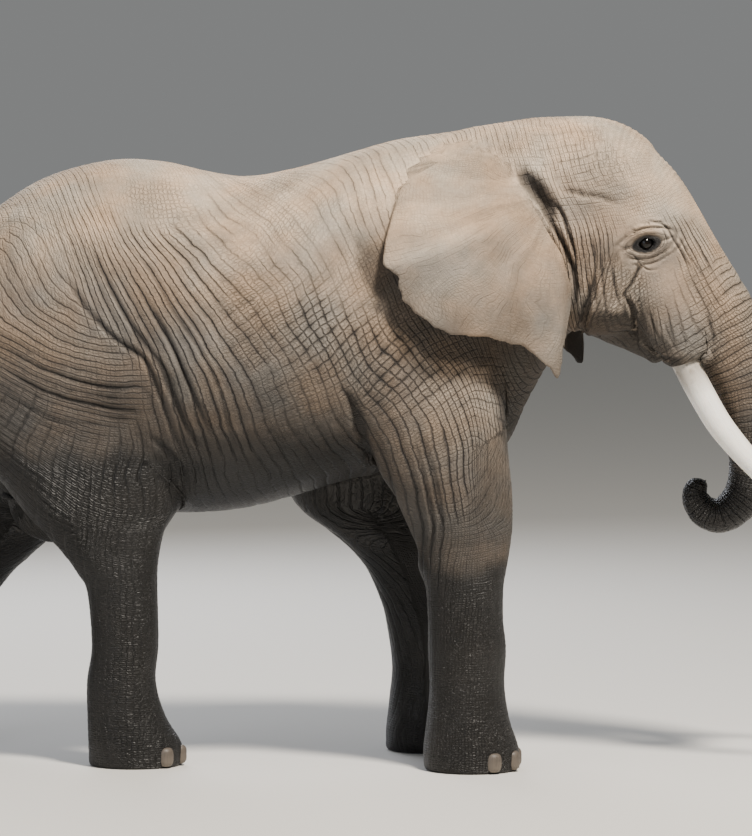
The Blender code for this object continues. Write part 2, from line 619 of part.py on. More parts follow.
# A place inside each flesh part, which gives the loose piece around it its name.
FLESH_PARTS = {
    "torso": (-0.60, 0, 2.10), "neck": (0.82, 0, 2.60), "head": (1.25, 0, 2.60),
    "trunk_upper": (1.92, 0, 1.80), "trunk_middle": (1.92, 0, 1.43), "trunk_tip": (1.69, 0, 1.27),
    "foreleg_right_upper": (0.51, -0.40, 0.95), "foreleg_left_upper": (0.17, 0.40, 0.92),
    "foreleg_right_lower": (0.53, -0.39, 0.45), "foreleg_left_lower": (0.275, 0.39, 0.45),
    "forefoot_right": (0.545, -0.385, 0.14), "forefoot_left": (0.29, 0.385, 0.14),
    "hindleg_right_lower": (-1.17, -0.37, 0.65), "hindleg_left_lower": (-2.19, 0.37, 0.65),
    "tail": (-2.345, 0, 1.80), "hindfoot_right": (-1.14, -0.36, 0.14), "hindfoot_left": (-2.26, 0.36, 0.14),
}


def cut_plate(place, tall, wide, lean):
    """A plate as thin as a cut, set across a part."""
    bm = bmesh.new()
    matrix = Matrix.Translation(place) @ Matrix.Rotation(math.radians(lean), 4, "Y")
    matrix = matrix @ Matrix.Diagonal((CUT, 2 * wide, 2 * tall, 1))
    bmesh.ops.create_cube(bm, size=1, matrix=matrix)
    mesh = bpy.data.meshes.new("cut")
    bm.to_mesh(mesh)
    bm.free()
    obj = bpy.data.objects.new("cut", mesh)
    CUTTERS.objects.link(obj)
    return obj


def islands(mesh):
    """Lists of the vertices that hang together."""
    label = np.arange(len(mesh.vertices))
    ends = np.empty(len(mesh.edges) * 2, np.int32)
    mesh.edges.foreach_get("vertices", ends)
    a, b = ends.reshape(-1, 2).T
    while True:
        low = np.minimum(label[a], label[b])
        before = label.copy()
        np.minimum.at(label, a, low)
        np.minimum.at(label, b, low)
        label = label[label]
        if (before == label).all():
            return [np.flatnonzero(label == root) for root in np.unique(label)]


def largest_piece(obj):
    """Keeps only the biggest of an object's loose pieces."""
    keep = max(islands(obj.data), key=len)
    new_index = np.full(len(obj.data.vertices), -1)
    new_index[keep] = np.arange(len(keep))
    faces = [new_index[list(face.vertices)].tolist() for face in obj.data.polygons]
    mesh = bpy.data.meshes.new(obj.name)
    mesh.from_pydata(points_of(obj.data)[keep].tolist(), [], [face for face in faces if face[0] >= 0])
    old, obj.data = obj.data, mesh
    bpy.data.meshes.remove(old)


def part_flesh(body):
    """Splits the cut flesh into its loose pieces and names each for the part it holds."""
    points = points_of(body.data)
    faces = np.array([list(face.vertices) for face in body.data.polygons])
    pieces = islands(body.data)
    made = []
    for name, place in FLESH_PARTS.items():
        spans = [(points[members].min(0) - place, points[members].max(0) - place) for members in pieces]
        holding = [k for k, (low, high) in enumerate(spans) if (low < 0).all() and (high > 0).all()]
        members = pieces[min(holding, key=lambda k: np.prod(spans[k][1] - spans[k][0]))]
        new_index = np.full(len(points), -1)
        new_index[members] = np.arange(len(members))
        own = faces[new_index[faces[:, 0]] >= 0]
        made.append(mesh_object(name, points[members], new_index[own].tolist()))
    print("flesh pieces", len(pieces), "named", len(made))
    return made


def material(name, colour, roughness):
    """A plain Principled BSDF."""
    mat = bpy.data.materials.new(name)
    mat.use_nodes = True
    shader = mat.node_tree.nodes["Principled BSDF"]
    shader.inputs["Base Color"].default_value = (*colour, 1)
    shader.inputs["Roughness"].default_value = roughness
    shader.inputs["Metallic"].default_value = 0
    return mat


LOOKS = {
    "skin": ((0.26, 0.225, 0.19), 0.85),
    "ivory": ((0.88, 0.84, 0.74), 0.35),
    "eye": ((0.02, 0.015, 0.01), 0.08),
    "nail": ((0.38, 0.33, 0.27), 0.55),
    "hair": ((0.03, 0.025, 0.02), 0.6),
}


def look_of(name):
    """Which look a part of that name wears."""
    for start, look in (("tusk", "ivory"), ("eye", "eye"), ("nail", "nail"), ("tail_tuft", "hair")):
        if name.startswith(start):
            return look
    return "skin"


# ---------------------------------------------------------------- build
for old in list(bpy.data.objects):
    bpy.data.objects.remove(old)
MODEL = bpy.data.collections.new("elephant")
CUTTERS = bpy.data.collections.new("cutters")
bpy.context.scene.collection.children.link(MODEL)
bpy.context.scene.collection.children.link(CUTTERS)

body = flesh()
near_body = swollen(body, "near_body", GAP)

for side, hand in ((-1, "right"), (1, "left")):
    ear = mesh_object("ear_" + hand, *ear_surface(side))
    triangulated(cut_away(triangulated(ear), near_body))
    largest_piece(ear)

drop(near_body)

tuft = triangulated(mesh_object("tail_tuft", *limb_surface(limb(TUFT_STATIONS, 9), 10)))
near_tuft = swollen(tuft, "near_tuft", GAP)
cut_away(body, near_tuft)
drop(near_tuft)

for side, hand in ((-1, "right"), (1, "left")):
    triangulated(mesh_object("tusk_" + hand, *tusk_surface(side)))
    socket = mesh_object("socket", *tusk_surface(side, GAP))
    cut_away(body, triangulated(socket))
    drop(socket)
    eye_y = float(skin_side(EYE_AT[0], EYE_AT[1])) + EYE_PROUD - EYE_RADIUS
    centre = Vector((EYE_AT[0], side * eye_y, EYE_AT[1]))
    ball("eye_" + hand, centre, [EYE_RADIUS] * 3, 0, 10, 7)
    socket = ball("socket", centre, [EYE_RADIUS] * 3, 0, 10, 7, GAP)
    cut_away(body, socket)
    drop(socket)

for name, place, turn in nail_places():
    ball(name, place, NAIL_SIZE, turn)
    socket = ball("socket", place, NAIL_SIZE, turn, grow=GAP)
    cut_away(body, socket)
    drop(socket)

for place, tall, wide, lean in CUTS:
    plate = cut_plate(place, tall, wide, lean)
    cut_away(body, plate)
    drop(plate)
triangulated(body)
part_flesh(body)
drop(body)

shift = Matrix.Translation((FORWARD_SHIFT, 0, 0))
for obj in MODEL.objects:
    obj.data.transform(shift)
    obj.data.materials.clear()
    obj.data.materials.append(material(obj.name + "_" + look_of(obj.name), *LOOKS[look_of(obj.name)]))
    if look_of(obj.name) != "skin" or obj.name.startswith(("ear", "tail")):
        obj.data.shade_smooth()

corners = np.vstack([points_of(obj.data) for obj in MODEL.objects])
triangles = sum(len(face.vertices) - 2 for obj in MODEL.objects for face in obj.data.polygons)
print("parts", len(MODEL.objects), "triangles", triangles)
print("box", corners.min(0).round(4), corners.max(0).round(4))
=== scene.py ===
# %% [markdown]
# # A life-size African savanna elephant
# A museum model of a wading bull: one skin over the whole body, two tusks, two eyes,
# fourteen toenails and a brush of bristle on the tail. The solids of the frame give
# the form and its size. The lesson rebuilds that form much finer, sculpts the folds
# of the hide into it, and then gives every surface its finish.

# %% Load the frame
import functools
import math

import bmesh
import bpy
import numpy as np
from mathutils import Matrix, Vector


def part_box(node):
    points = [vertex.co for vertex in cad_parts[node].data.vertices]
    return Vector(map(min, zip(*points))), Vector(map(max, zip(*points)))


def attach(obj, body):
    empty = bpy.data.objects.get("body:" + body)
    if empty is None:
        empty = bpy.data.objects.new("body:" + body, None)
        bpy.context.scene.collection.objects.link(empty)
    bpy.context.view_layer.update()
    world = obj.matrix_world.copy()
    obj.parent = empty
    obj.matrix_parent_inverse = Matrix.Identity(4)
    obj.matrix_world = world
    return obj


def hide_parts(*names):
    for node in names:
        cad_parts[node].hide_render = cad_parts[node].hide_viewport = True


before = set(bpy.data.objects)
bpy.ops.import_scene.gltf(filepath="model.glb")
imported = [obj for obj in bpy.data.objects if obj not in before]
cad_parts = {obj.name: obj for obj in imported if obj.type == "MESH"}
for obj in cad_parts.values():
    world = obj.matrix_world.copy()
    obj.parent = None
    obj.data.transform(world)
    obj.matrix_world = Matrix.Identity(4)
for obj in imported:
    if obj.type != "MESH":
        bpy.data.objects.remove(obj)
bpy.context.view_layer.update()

print("solids in the frame:", len(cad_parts))

# %% [markdown]
# ## Camera, floor and light
# The animal is seen from its right side, from far away with a long lens, so that near
# and far legs keep nearly the same size. A museum would light it with one large soft
# lamp high in front and weaker ones behind. Big area lights do that here: the larger
# a lamp is, the softer its shadow. The floor is plain and pale, and the sky-coloured
# world gives the light that a pale room throws back.

# %% Camera
EYE_AT = (1.412, 2.591)                 # where the form puts the eye: forward, up
eye_box = np.array(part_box("eye_right"))
FORWARD = float(eye_box[:, 0].mean()) - EYE_AT[0]
VIEW_AZIMUTH, VIEW_HEIGHT = math.radians(5), math.radians(3.5)
VIEW_DISTANCE = 25.0                    # metres, far enough for a long lens
VIEW_HALF = 2.09                        # half the height of the picture, at the animal
VIEW_AIM = Vector((0.05 + FORWARD, 0, 1.71))
SENSOR, FARTHEST = 36.0, 200            # millimetres; metres that the camera sees


def aimed(obj, place, aim):
    """Puts an object at a place and turns its -Z axis towards the aim."""
    obj.location = place
    obj.rotation_euler = (Vector(aim) - Vector(place)).to_track_quat("-Z", "Y").to_euler()
    bpy.context.scene.collection.objects.link(obj)
    return obj


back = Vector((math.sin(VIEW_AZIMUTH) * math.cos(VIEW_HEIGHT),
               -math.cos(VIEW_AZIMUTH) * math.cos(VIEW_HEIGHT), math.sin(VIEW_HEIGHT)))
camera_data = bpy.data.cameras.new("camera")
camera_data.lens = SENSOR / 2 / (VIEW_HALF / VIEW_DISTANCE)
camera_data.sensor_width = SENSOR
camera_data.clip_end = FARTHEST
camera = aimed(bpy.data.objects.new("camera", camera_data), VIEW_AIM + VIEW_DISTANCE * back, VIEW_AIM)
bpy.context.scene.camera = camera
print("lens", round(camera_data.lens, 1), "mm, form moved forward by", round(FORWARD, 4))

# %% Colours and nodes
def linear(colour):
    """sRGB hex to linear: c / 12.92 near black, else ((c + 0.055) / 1.055) to the power 2.4."""
    c = np.array([int(colour[k:k + 2], 16) for k in (1, 3, 5)]) / 255
    return (*np.where(c < 0.04045, c / 12.92, ((c + 0.055) / 1.055) ** 2.4).tolist(), 1.0)


CHOICES = {"Math": "operation", "Mix": "blend_type", "MapRange": "interpolation_type", "TexVoronoi": "feature"}


def fill(node, values=(), named=None):
    """Sets or links a node's inputs, in the order of those in use or by name."""
    pairs = list(zip([socket for socket in node.inputs if socket.enabled], values))
    pairs += [(node.inputs[name], value) for name, value in (named or {}).items()]
    for socket, value in pairs:
        if isinstance(value, bpy.types.NodeSocket):
            node.id_data.links.new(value, socket)
        else:
            socket.default_value = value


def add(tree, kind, *values, named=None, out=0, **settings):
    """Adds a node, sets its properties, fills its inputs, and returns an output.

    A second word in the kind is the node's own choice, as in "Math MULTIPLY". The output
    is picked by name, or by number among those in use; None gives them all.
    """
    kind, _, choice = kind.partition(" ")
    node = tree.nodes.new("ShaderNode" + kind)
    if choice:
        settings[CHOICES[kind]] = choice
    for name, value in settings.items():
        setattr(node, name, value)
    fill(node, values, named)
    if isinstance(out, str):
        return node.outputs[out]
    in_use = [socket for socket in node.outputs if socket.enabled]
    return in_use if out is None else in_use[out]


def new_material(name):
    """An empty material, its Principled shader, and a function that adds nodes to its tree."""
    mat = bpy.data.materials.new(name)
    mat.use_nodes = True
    return mat, mat.node_tree.nodes["Principled BSDF"], functools.partial(add, mat.node_tree)


# %% Floor and lamps
LAMP_AIM = (0.2, 0, 1.7)
WORLD_COLOUR, WORLD_STRENGTH = "#E4E6E6", 0.28
FLOOR_HALF = 60                          # metres, past all that the camera sees


def softbox(name, place, size, watts, colour="#FFFFFF"):
    """A square area lamp aimed at the middle of the animal."""
    lamp = bpy.data.lights.new(name, "AREA")
    lamp.size, lamp.energy, lamp.color = size, watts, linear(colour)[:3]
    return aimed(bpy.data.objects.new(name, lamp), place, LAMP_AIM)


softbox("key_lamp", (5.0, -6.5, 13.0), 2.2, 4300, "#FFF6EA")
softbox("side_lamp", (-7.0, -10.0, 4.5), 7.0, 300, "#EEF3FF")
softbox("back_lamp", (-4.0, 9.0, 7.0), 6.0, 900, "#F4F7FF")

world = bpy.data.worlds.new("studio")
bpy.context.scene.world = world
world.use_nodes = True
fill(world.node_tree.nodes["Background"], named={"Color": linear(WORLD_COLOUR), "Strength": WORLD_STRENGTH})

floor_mesh = bpy.data.meshes.new("floor")
corners = [(x * FLOOR_HALF, y * FLOOR_HALF, 0) for x, y in ((-1, -1), (1, -1), (1, 1), (-1, 1))]
floor_mesh.from_pydata(corners, [], [(0, 1, 2, 3)])
floor = bpy.data.objects.new("floor", floor_mesh)
bpy.context.scene.collection.objects.link(floor)
floor_look, floor_shader, _ = new_material("painted_studio_floor")
fill(floor_shader, named={"Base Color": linear("#D5D3CE"), "Roughness": 0.9})
floor_mesh.materials.append(floor_look)

# %% [markdown]
# ## The form as lofts and swells
# Under the hide an elephant is a barrel, four columns, and a head that runs out into
# the trunk. Each is a loft: rings carried along a line, with a width and a front and
# back reach at every station. Muscles and bones that push the hide out are ellipsoids.
# These are the same stations that the solids were built from, so the fine form lies
# on the coarse one.

# %% Stations of the body
# Torso: forward, back line, widest height, belly line, half width.
TORSO_STATIONS = [
    (-2.230, 2.140, 2.10, 2.060, 0.020), (-2.205, 2.270, 2.10, 1.900, 0.140),
    (-2.155, 2.410, 2.10, 1.720, 0.270), (-2.080, 2.540, 2.10, 1.570, 0.380),
    (-1.955, 2.675, 2.10, 1.430, 0.480), (-1.800, 2.800, 2.10, 1.340, 0.560),
    (-1.585, 2.925, 2.08, 1.280, 0.620), (-1.285, 3.000, 2.06, 1.245, 0.665),
    (-1.035, 2.995, 2.04, 1.235, 0.700), (-0.800, 2.947, 2.02, 1.235, 0.730),
    (-0.585, 2.922, 2.02, 1.260, 0.745), (-0.335, 2.965, 2.05, 1.325, 0.735),
    (-0.085, 3.035, 2.10, 1.400, 0.690), (0.165, 3.105, 2.16, 1.440, 0.620),
    (0.400, 3.140, 2.22, 1.430, 0.540), (0.600, 3.155, 2.30, 1.470, 0.480),
    (0.720, 3.155, 2.36, 1.600, 0.440), (0.820, 3.150, 2.44, 1.820, 0.410),
    (0.930, 3.120, 2.50, 2.020, 0.370), (1.050, 3.020, 2.55, 2.200, 0.300),
]
TAIL_STATIONS = [
    (-2.02, 0, 2.55, 0.120, 0.100, 0.100), (-2.16, 0, 2.46, 0.090, 0.085, 0.085),
    (-2.27, 0, 2.30, 0.062, 0.062, 0.062), (-2.325, 0, 2.08, 0.048, 0.050, 0.050),
    (-2.345, 0, 1.80, 0.036, 0.040, 0.040), (-2.345, 0, 1.50, 0.028, 0.033, 0.033),
    (-2.335, 0, 1.26, 0.022, 0.028, 0.028),
]

# %% Stations of the head
# Crown to finger of the trunk: forward, side, up, half width, front, back.
HEAD_STATIONS = [
    (0.670, 0, 2.675, 0.360, 0.470, 0.450), (0.945, 0, 2.740, 0.385, 0.472, 0.500),
    (1.170, 0, 2.765, 0.385, 0.432, 0.480), (1.290, 0, 2.735, 0.380, 0.355, 0.420),
    (1.400, 0, 2.665, 0.355, 0.283, 0.350), (1.585, 0, 2.450, 0.295, 0.222, 0.280),
    (1.745, 0, 2.200, 0.245, 0.212, 0.220), (1.870, 0, 1.975, 0.210, 0.200, 0.190),
    (1.930, 0, 1.750, 0.180, 0.165, 0.160), (1.940, 0, 1.575, 0.155, 0.143, 0.140),
    (1.915, 0, 1.425, 0.135, 0.122, 0.112), (1.860, 0, 1.315, 0.122, 0.112, 0.092),
    (1.775, 0, 1.250, 0.110, 0.105, 0.078), (1.695, 0, 1.268, 0.095, 0.095, 0.068),
    (1.652, 0, 1.335, 0.080, 0.078, 0.058), (1.668, 0, 1.400, 0.060, 0.058, 0.045),
]
JAW_STATIONS = [
    (1.080, 0, 2.420, 0.240, 0.200, 0.240), (1.200, 0, 2.280, 0.210, 0.170, 0.170),
    (1.320, 0, 2.180, 0.160, 0.140, 0.130), (1.410, 0, 2.090, 0.105, 0.100, 0.085),
    (1.460, 0, 2.020, 0.060, 0.060, 0.045),
]
# The swelling over a tusk's root, left side; the right is its mirror image.
SHEATH_STATIONS = [
    (1.360, 0.170, 2.560, 0.120, 0.140, 0.140), (1.470, 0.195, 2.360, 0.140, 0.155, 0.155),
    (1.545, 0.205, 2.170, 0.130, 0.140, 0.135), (1.590, 0.210, 2.040, 0.105, 0.110, 0.105),
]

# %% Stations of the legs
# Hip or shoulder to sole: forward, side, up, half width, front, back.
RIGHT_FORELEG = [
    (0.285, -0.340, 2.45, 0.130, 0.260, 0.260), (0.305, -0.380, 2.15, 0.190, 0.330, 0.330),
    (0.365, -0.410, 1.80, 0.210, 0.350, 0.360), (0.420, -0.420, 1.505, 0.200, 0.325, 0.325),
    (0.465, -0.410, 1.365, 0.195, 0.293, 0.293), (0.498, -0.405, 1.215, 0.187, 0.261, 0.261),
    (0.5175, -0.400, 1.095, 0.180, 0.228, 0.228), (0.513, -0.400, 1.000, 0.177, 0.218, 0.218),
    (0.5225, -0.400, 0.900, 0.172, 0.193, 0.193), (0.527, -0.395, 0.750, 0.172, 0.188, 0.188),
    (0.532, -0.390, 0.600, 0.182, 0.198, 0.192), (0.535, -0.385, 0.420, 0.178, 0.185, 0.185),
    (0.540, -0.385, 0.250, 0.200, 0.205, 0.205), (0.550, -0.385, 0.110, 0.230, 0.240, 0.232),
    (0.552, -0.385, 0.030, 0.230, 0.238, 0.232), (0.553, -0.385, 0.000, 0.221, 0.229, 0.222),
]
LEFT_FORELEG = [
    (0.215, 0.340, 2.45, 0.130, 0.260, 0.260), (0.165, 0.380, 2.15, 0.190, 0.330, 0.330),
    (0.055, 0.410, 1.80, 0.210, 0.350, 0.360), (-0.035, 0.420, 1.505, 0.200, 0.320, 0.370),
    (-0.035, 0.410, 1.310, 0.195, 0.280, 0.390), (0.005, 0.405, 1.210, 0.187, 0.260, 0.370),
    (0.065, 0.400, 1.120, 0.180, 0.235, 0.310), (0.125, 0.400, 1.020, 0.177, 0.215, 0.245),
    (0.175, 0.400, 0.910, 0.172, 0.195, 0.205), (0.230, 0.395, 0.750, 0.172, 0.190, 0.188),
    (0.268, 0.390, 0.600, 0.182, 0.198, 0.192), (0.280, 0.385, 0.420, 0.178, 0.185, 0.185),
    (0.285, 0.385, 0.250, 0.200, 0.205, 0.205), (0.295, 0.385, 0.110, 0.230, 0.240, 0.232),
    (0.297, 0.385, 0.030, 0.230, 0.238, 0.232), (0.298, 0.385, 0.000, 0.221, 0.229, 0.222),
]
RIGHT_HINDLEG = [
    (-1.487, -0.300, 2.45, 0.200, 0.360, 0.360), (-1.517, -0.360, 2.10, 0.250, 0.460, 0.480),
    (-1.527, -0.390, 1.80, 0.250, 0.490, 0.500), (-1.417, -0.400, 1.55, 0.235, 0.470, 0.470),
    (-1.327, -0.400, 1.40, 0.220, 0.440, 0.440), (-1.2895, -0.395, 1.25, 0.200, 0.3675, 0.3675),
    (-1.267, -0.390, 1.155, 0.185, 0.300, 0.300), (-1.227, -0.385, 1.040, 0.175, 0.236, 0.236),
    (-1.202, -0.380, 0.955, 0.168, 0.202, 0.202), (-1.179, -0.375, 0.860, 0.162, 0.177, 0.177),
    (-1.167, -0.370, 0.600, 0.158, 0.168, 0.168), (-1.177, -0.365, 0.420, 0.165, 0.165, 0.185),
    (-1.162, -0.360, 0.250, 0.185, 0.195, 0.200), (-1.132, -0.360, 0.110, 0.210, 0.245, 0.225),
    (-1.127, -0.360, 0.030, 0.210, 0.242, 0.225), (-1.127, -0.360, 0.000, 0.201, 0.232, 0.216),
]
LEFT_HINDLEG = [
    (-1.583, 0.300, 2.45, 0.200, 0.360, 0.360), (-1.653, 0.360, 2.10, 0.250, 0.470, 0.470),
    (-1.703, 0.390, 1.80, 0.250, 0.480, 0.460), (-1.683, 0.400, 1.55, 0.235, 0.450, 0.440),
    (-1.703, 0.400, 1.40, 0.220, 0.410, 0.400), (-1.763, 0.395, 1.25, 0.200, 0.350, 0.350),
    (-1.823, 0.390, 1.155, 0.185, 0.290, 0.290), (-1.903, 0.385, 1.050, 0.175, 0.235, 0.235),
    (-1.973, 0.380, 0.960, 0.168, 0.202, 0.202), (-2.053, 0.375, 0.860, 0.162, 0.180, 0.180),
    (-2.205, 0.370, 0.620, 0.158, 0.168, 0.168), (-2.270, 0.365, 0.420, 0.165, 0.165, 0.180),
    (-2.275, 0.360, 0.250, 0.185, 0.195, 0.200), (-2.250, 0.360, 0.110, 0.210, 0.245, 0.225),
    (-2.245, 0.360, 0.030, 0.210, 0.242, 0.225), (-2.245, 0.360, 0.000, 0.201, 0.232, 0.216),
]

# %% Lofts
SIDEWAYS = np.array([0.0, 1.0, 0.0])


def unit(v):
    """Vectors scaled to length one."""
    return v / np.maximum(np.linalg.norm(v, axis=-1, keepdims=True), 1e-9)


def smoothstep(low, high, x):
    """0 below low, 1 above high, and 3t^2 - 2t^3 of the share t between."""
    t = np.clip((x - low) / (high - low), 0, 1)
    return t * t * (3 - 2 * t)


def turned(a, b, angle):
    """Two distances read on axes turned by an angle: a cos + b sin, and b cos - a sin."""
    c, s = math.cos(angle), math.sin(angle)
    return a * c + b * s, b * c - a * s


def curve(rows, count):
    """Catmull-Rom: a smooth curve through every row, read at count even steps."""
    rows = np.asarray(rows, float)
    padded = np.vstack([2 * rows[0] - rows[1], rows, 2 * rows[-1] - rows[-2]])
    along = np.linspace(0, len(rows) - 1, count)
    at = np.minimum(along.astype(int), len(rows) - 2)
    t = (along - at)[:, None]
    a, b, c, d = (padded[at + k] for k in range(4))
    cubic = (3 * b - a - 3 * c + d) * t**3
    return 0.5 * (2 * b + (c - a) * t + (2 * a - 5 * b + 4 * c - d) * t**2 + cubic)


def limb(rows, count=128, power=2.0, plane=None):
    """A loft: rings square to the path, or upright across X (plane 0), or level (plane 2).

    A ring is a superellipse: |side| and |reach| shares to the given power add up to one.
    """
    c = curve(rows, count)
    path, sizes = c[:, :3], np.maximum(c[:, 3:], 0.01)
    if plane is None:
        ahead = unit(np.gradient(path, axis=0))
    else:
        ahead = np.zeros_like(path)
        ahead[:, plane] = 1.0 if plane == 0 else -1.0
    length = np.concatenate([[0], np.cumsum(np.linalg.norm(np.diff(path, axis=0), axis=1))])
    return {"path": path, "ahead": ahead, "facing": unit(np.cross(ahead, SIDEWAYS)),
            "sizes": sizes, "power": power, "plane": plane, "length": length}


def barrel(rows, count=160, power=2.1):
    """The torso's loft, from rows of forward, top, widest height, bottom, half width."""
    x, top, middle, bottom, side = np.asarray(rows, float).T
    table = np.stack([x, 0 * x, middle, side, top - middle, middle - bottom], axis=1)
    return limb(table, count, power, plane=0)


def swell(centre, radii, turn=0.0):
    """An ellipsoid, its nose turned down by that many degrees."""
    return {"centre": np.array(centre), "radii": np.array(radii), "turn": math.radians(turn)}


TORSO = barrel(TORSO_STATIONS)
HEAD = limb(HEAD_STATIONS, 150, 2.15)
JAW = limb(JAW_STATIONS, 40)
SHEATH = limb(SHEATH_STATIONS, 40)
LEGS = [limb(rows, plane=2) for rows in (RIGHT_FORELEG, LEFT_FORELEG, RIGHT_HINDLEG, LEFT_HINDLEG)]
TAIL = limb(TAIL_STATIONS, 64)
BODY_SWELLS = [
    swell((0.24, 0.42, 2.25), (0.26, 0.19, 0.50), 10),      # shoulder blade
    swell((-1.42, 0.40, 2.45), (0.34, 0.20, 0.30)),         # hip
]
HEAD_SWELLS = [
    swell((1.17, 0.19, 2.42), (0.27, 0.19, 0.28)),          # jaw muscle
    swell((1.12, 0.25, 2.56), (0.28, 0.12, 0.10)),          # cheek bone
    swell((1.39, 0.235, 2.67), (0.15, 0.115, 0.085), 35),   # brow
]
CROWN = swell((1.12, 0, 2.93), (0.30, 0.27, 0.255))
GROIN = swell((-1.56, 0, 1.26), (0.24, 0.10, 0.19))
print("trunk and head run", round(HEAD["length"][-1], 2), "m along their middle line")

# %% [markdown]
# ## How far a point lies from the hide
# To lay a fine mesh on the form, the script needs one number for any point in space:
# how far outside the flesh it is. Each loft and swell gives such a number, and a
# smooth least value of them all rounds the hollows where two forms meet, as fat and
# hide do over a joint.

# %% Distance to the flesh
LOFT_REACH, FAR_OFF = 0.35, 9.0          # metres: points farther than the first count as the second away


def limb_place(part, q):
    """Where points lie in a loft: row s, ring sizes there, and side, reach and end offsets."""
    path, ahead, facing, sizes = part["path"], part["ahead"], part["facing"], part["sizes"]
    last = len(path) - 1
    if part["plane"] is None:
        at = ((path**2).sum(1) - 2 * q @ path.T).argmin(1)
        step = np.linalg.norm(np.gradient(path, axis=0), axis=1)
        shift = ((q - path[at]) * ahead[at]).sum(1) / step[at]
        s = np.clip(at + np.clip(shift, -0.7, 0.7), 0, last)
    else:
        axis = part["plane"]
        sign = ahead[0, axis]
        s = np.interp(sign * q[:, axis], sign * path[:, axis], np.arange(last + 1))
    i = np.minimum(s.astype(int), last - 1)
    t = (s - i)[:, None]
    centre, size = path[i] * (1 - t) + path[i + 1] * t, sizes[i] * (1 - t) + sizes[i + 1] * t
    up, tangent = unit(facing[i] * (1 - t) + facing[i + 1] * t), unit(ahead[i] * (1 - t) + ahead[i + 1] * t)
    d = q - centre
    end = np.where((s <= 0) | (s >= last), (d * tangent).sum(1), 0)
    return s, size, d @ SIDEWAYS, (d * up).sum(1), end


def limb_depth(part, p):
    """How far points lie outside a loft, measured along the ray from its centre line."""
    path, sizes, k = part["path"], part["sizes"], part["power"]
    reach = sizes.max() + LOFT_REACH
    near = np.all((p > path.min(0) - reach) & (p < path.max(0) + reach), axis=1)
    out = np.full(len(p), FAR_OFF)
    if near.any():
        _, size, u, v, w = limb_place(part, p[near])
        front = np.where(v > 0, size[:, 1], size[:, 2])
        rho = (np.abs(u / size[:, 0]) ** k + np.abs(v / front) ** k) ** (1 / k)
        rho = np.sqrt(rho**2 + (2 * w / size.min(1)) ** 2)
        out[near] = np.sqrt(u**2 + v**2 + w**2) * (1 - 1 / np.maximum(rho, 0.02))
    return out


def swell_depth(part, p):
    """How far points lie outside an ellipsoid, along the ray from its centre."""
    x, y, z = (p - part["centre"]).T
    x, z = turned(x, z, -part["turn"])
    q = np.stack([x, y, z], axis=1)
    rho = np.linalg.norm(q / part["radii"], axis=1)
    return np.linalg.norm(q, axis=1) * (1 - 1 / np.maximum(rho, 0.02))


def merge(depths, blend):
    """Smooth union: the least depth, rounded over about the blend's length."""
    d = np.stack(depths)
    low = d.min(0)
    return low - blend * np.log(np.exp((low - d) / blend).sum(0))


LIMB_BLEND, FACE_BLEND, PART_BLEND = 0.05, 0.03, 0.035      # metres
BLOCK = 60000                            # points worked on at once, to spare memory


def in_blocks(measure):
    """A function of points that works through them block by block."""
    def whole(p, *rest):
        return np.concatenate([measure(p[k:k + BLOCK], *rest) for k in range(0, max(len(p), 1), BLOCK)])
    return whole


@in_blocks
def flesh_depth(p, ridge=True):
    """Negative inside the flesh, positive outside, zero on the skin."""
    m = p * [1, 0, 1] + np.abs(p) * [0, 1, 0]
    body = merge([limb_depth(part, p) for part in [TORSO] + LEGS]
                 + [swell_depth(part, m) for part in BODY_SWELLS]
                 + [swell_depth(GROIN, p)], LIMB_BLEND)
    head = merge([limb_depth(HEAD, p), limb_depth(JAW, p), limb_depth(SHEATH, m), swell_depth(CROWN, p)]
                 + [swell_depth(part, m) for part in HEAD_SWELLS], FACE_BLEND)
    forms = [body, head, limb_depth(TAIL, p)]
    if ridge:
        forms.append(limb_depth(RIDGE, m))
    return np.maximum(merge(forms, PART_BLEND), -p[:, 2])


WIDEST_SIDE, SIDE_STEPS = 0.95, 77       # metres searched sideways for the skin, and steps


def skin_side(x, z, ridge=True):
    """The half width of the flesh at places (x, z): its last crossing going sideways."""
    y = np.linspace(0, WIDEST_SIDE, SIDE_STEPS)
    shape = np.broadcast_shapes(np.shape(x), np.shape(z))
    x, z = np.broadcast_to(x, shape).ravel(), np.broadcast_to(z, shape).ravel()
    grid = np.stack(np.broadcast_arrays(x[:, None], y[None], z[:, None]), axis=-1)
    d = flesh_depth(grid.reshape(-1, 3), ridge).reshape(len(x), len(y))
    inside = d < 0
    last = np.where(inside.any(1), len(y) - 1 - inside[:, ::-1].argmax(1), 0)
    after = np.minimum(last + 1, len(y) - 1)
    row = np.arange(len(x))
    a, b = d[row, last], d[row, after]
    t = np.where(inside.any(1), np.clip(a / (a - b - 1e-9), 0, 1), 0)
    return (y[last] + t * (y[after] - y[last])).reshape(shape)


# The ridge that the ear hangs from: forward, up; then how deep it sits and its sizes.
EAR_RIDGE = [(0.72, 2.82), (0.775, 2.72), (0.835, 2.59), (0.89, 2.455), (0.92, 2.37)]
RIDGE_SUNK, RIDGE_SIZES = 0.01, (0.045, 0.05, 0.05)
ridge_x, ridge_z = np.array(EAR_RIDGE).T
RIDGE = limb(np.stack(np.broadcast_arrays(ridge_x, skin_side(ridge_x, ridge_z, False) - RIDGE_SUNK, ridge_z,
                                          *RIDGE_SIZES), axis=1), 48)
eye_y = float(skin_side(*EYE_AT))
print("half width of the head at the eye", round(eye_y, 3))

# %% [markdown]
# ## From forms to one closed skin
# A real hide has no seam between neck, leg and trunk, so the model must not either.
# The closed shells of all the forms are thrown together and melted on a fine grid of
# voxels, which gives one watertight mesh. The grid leaves small steps, so each point
# then slides along its normal until its distance to the flesh is zero.

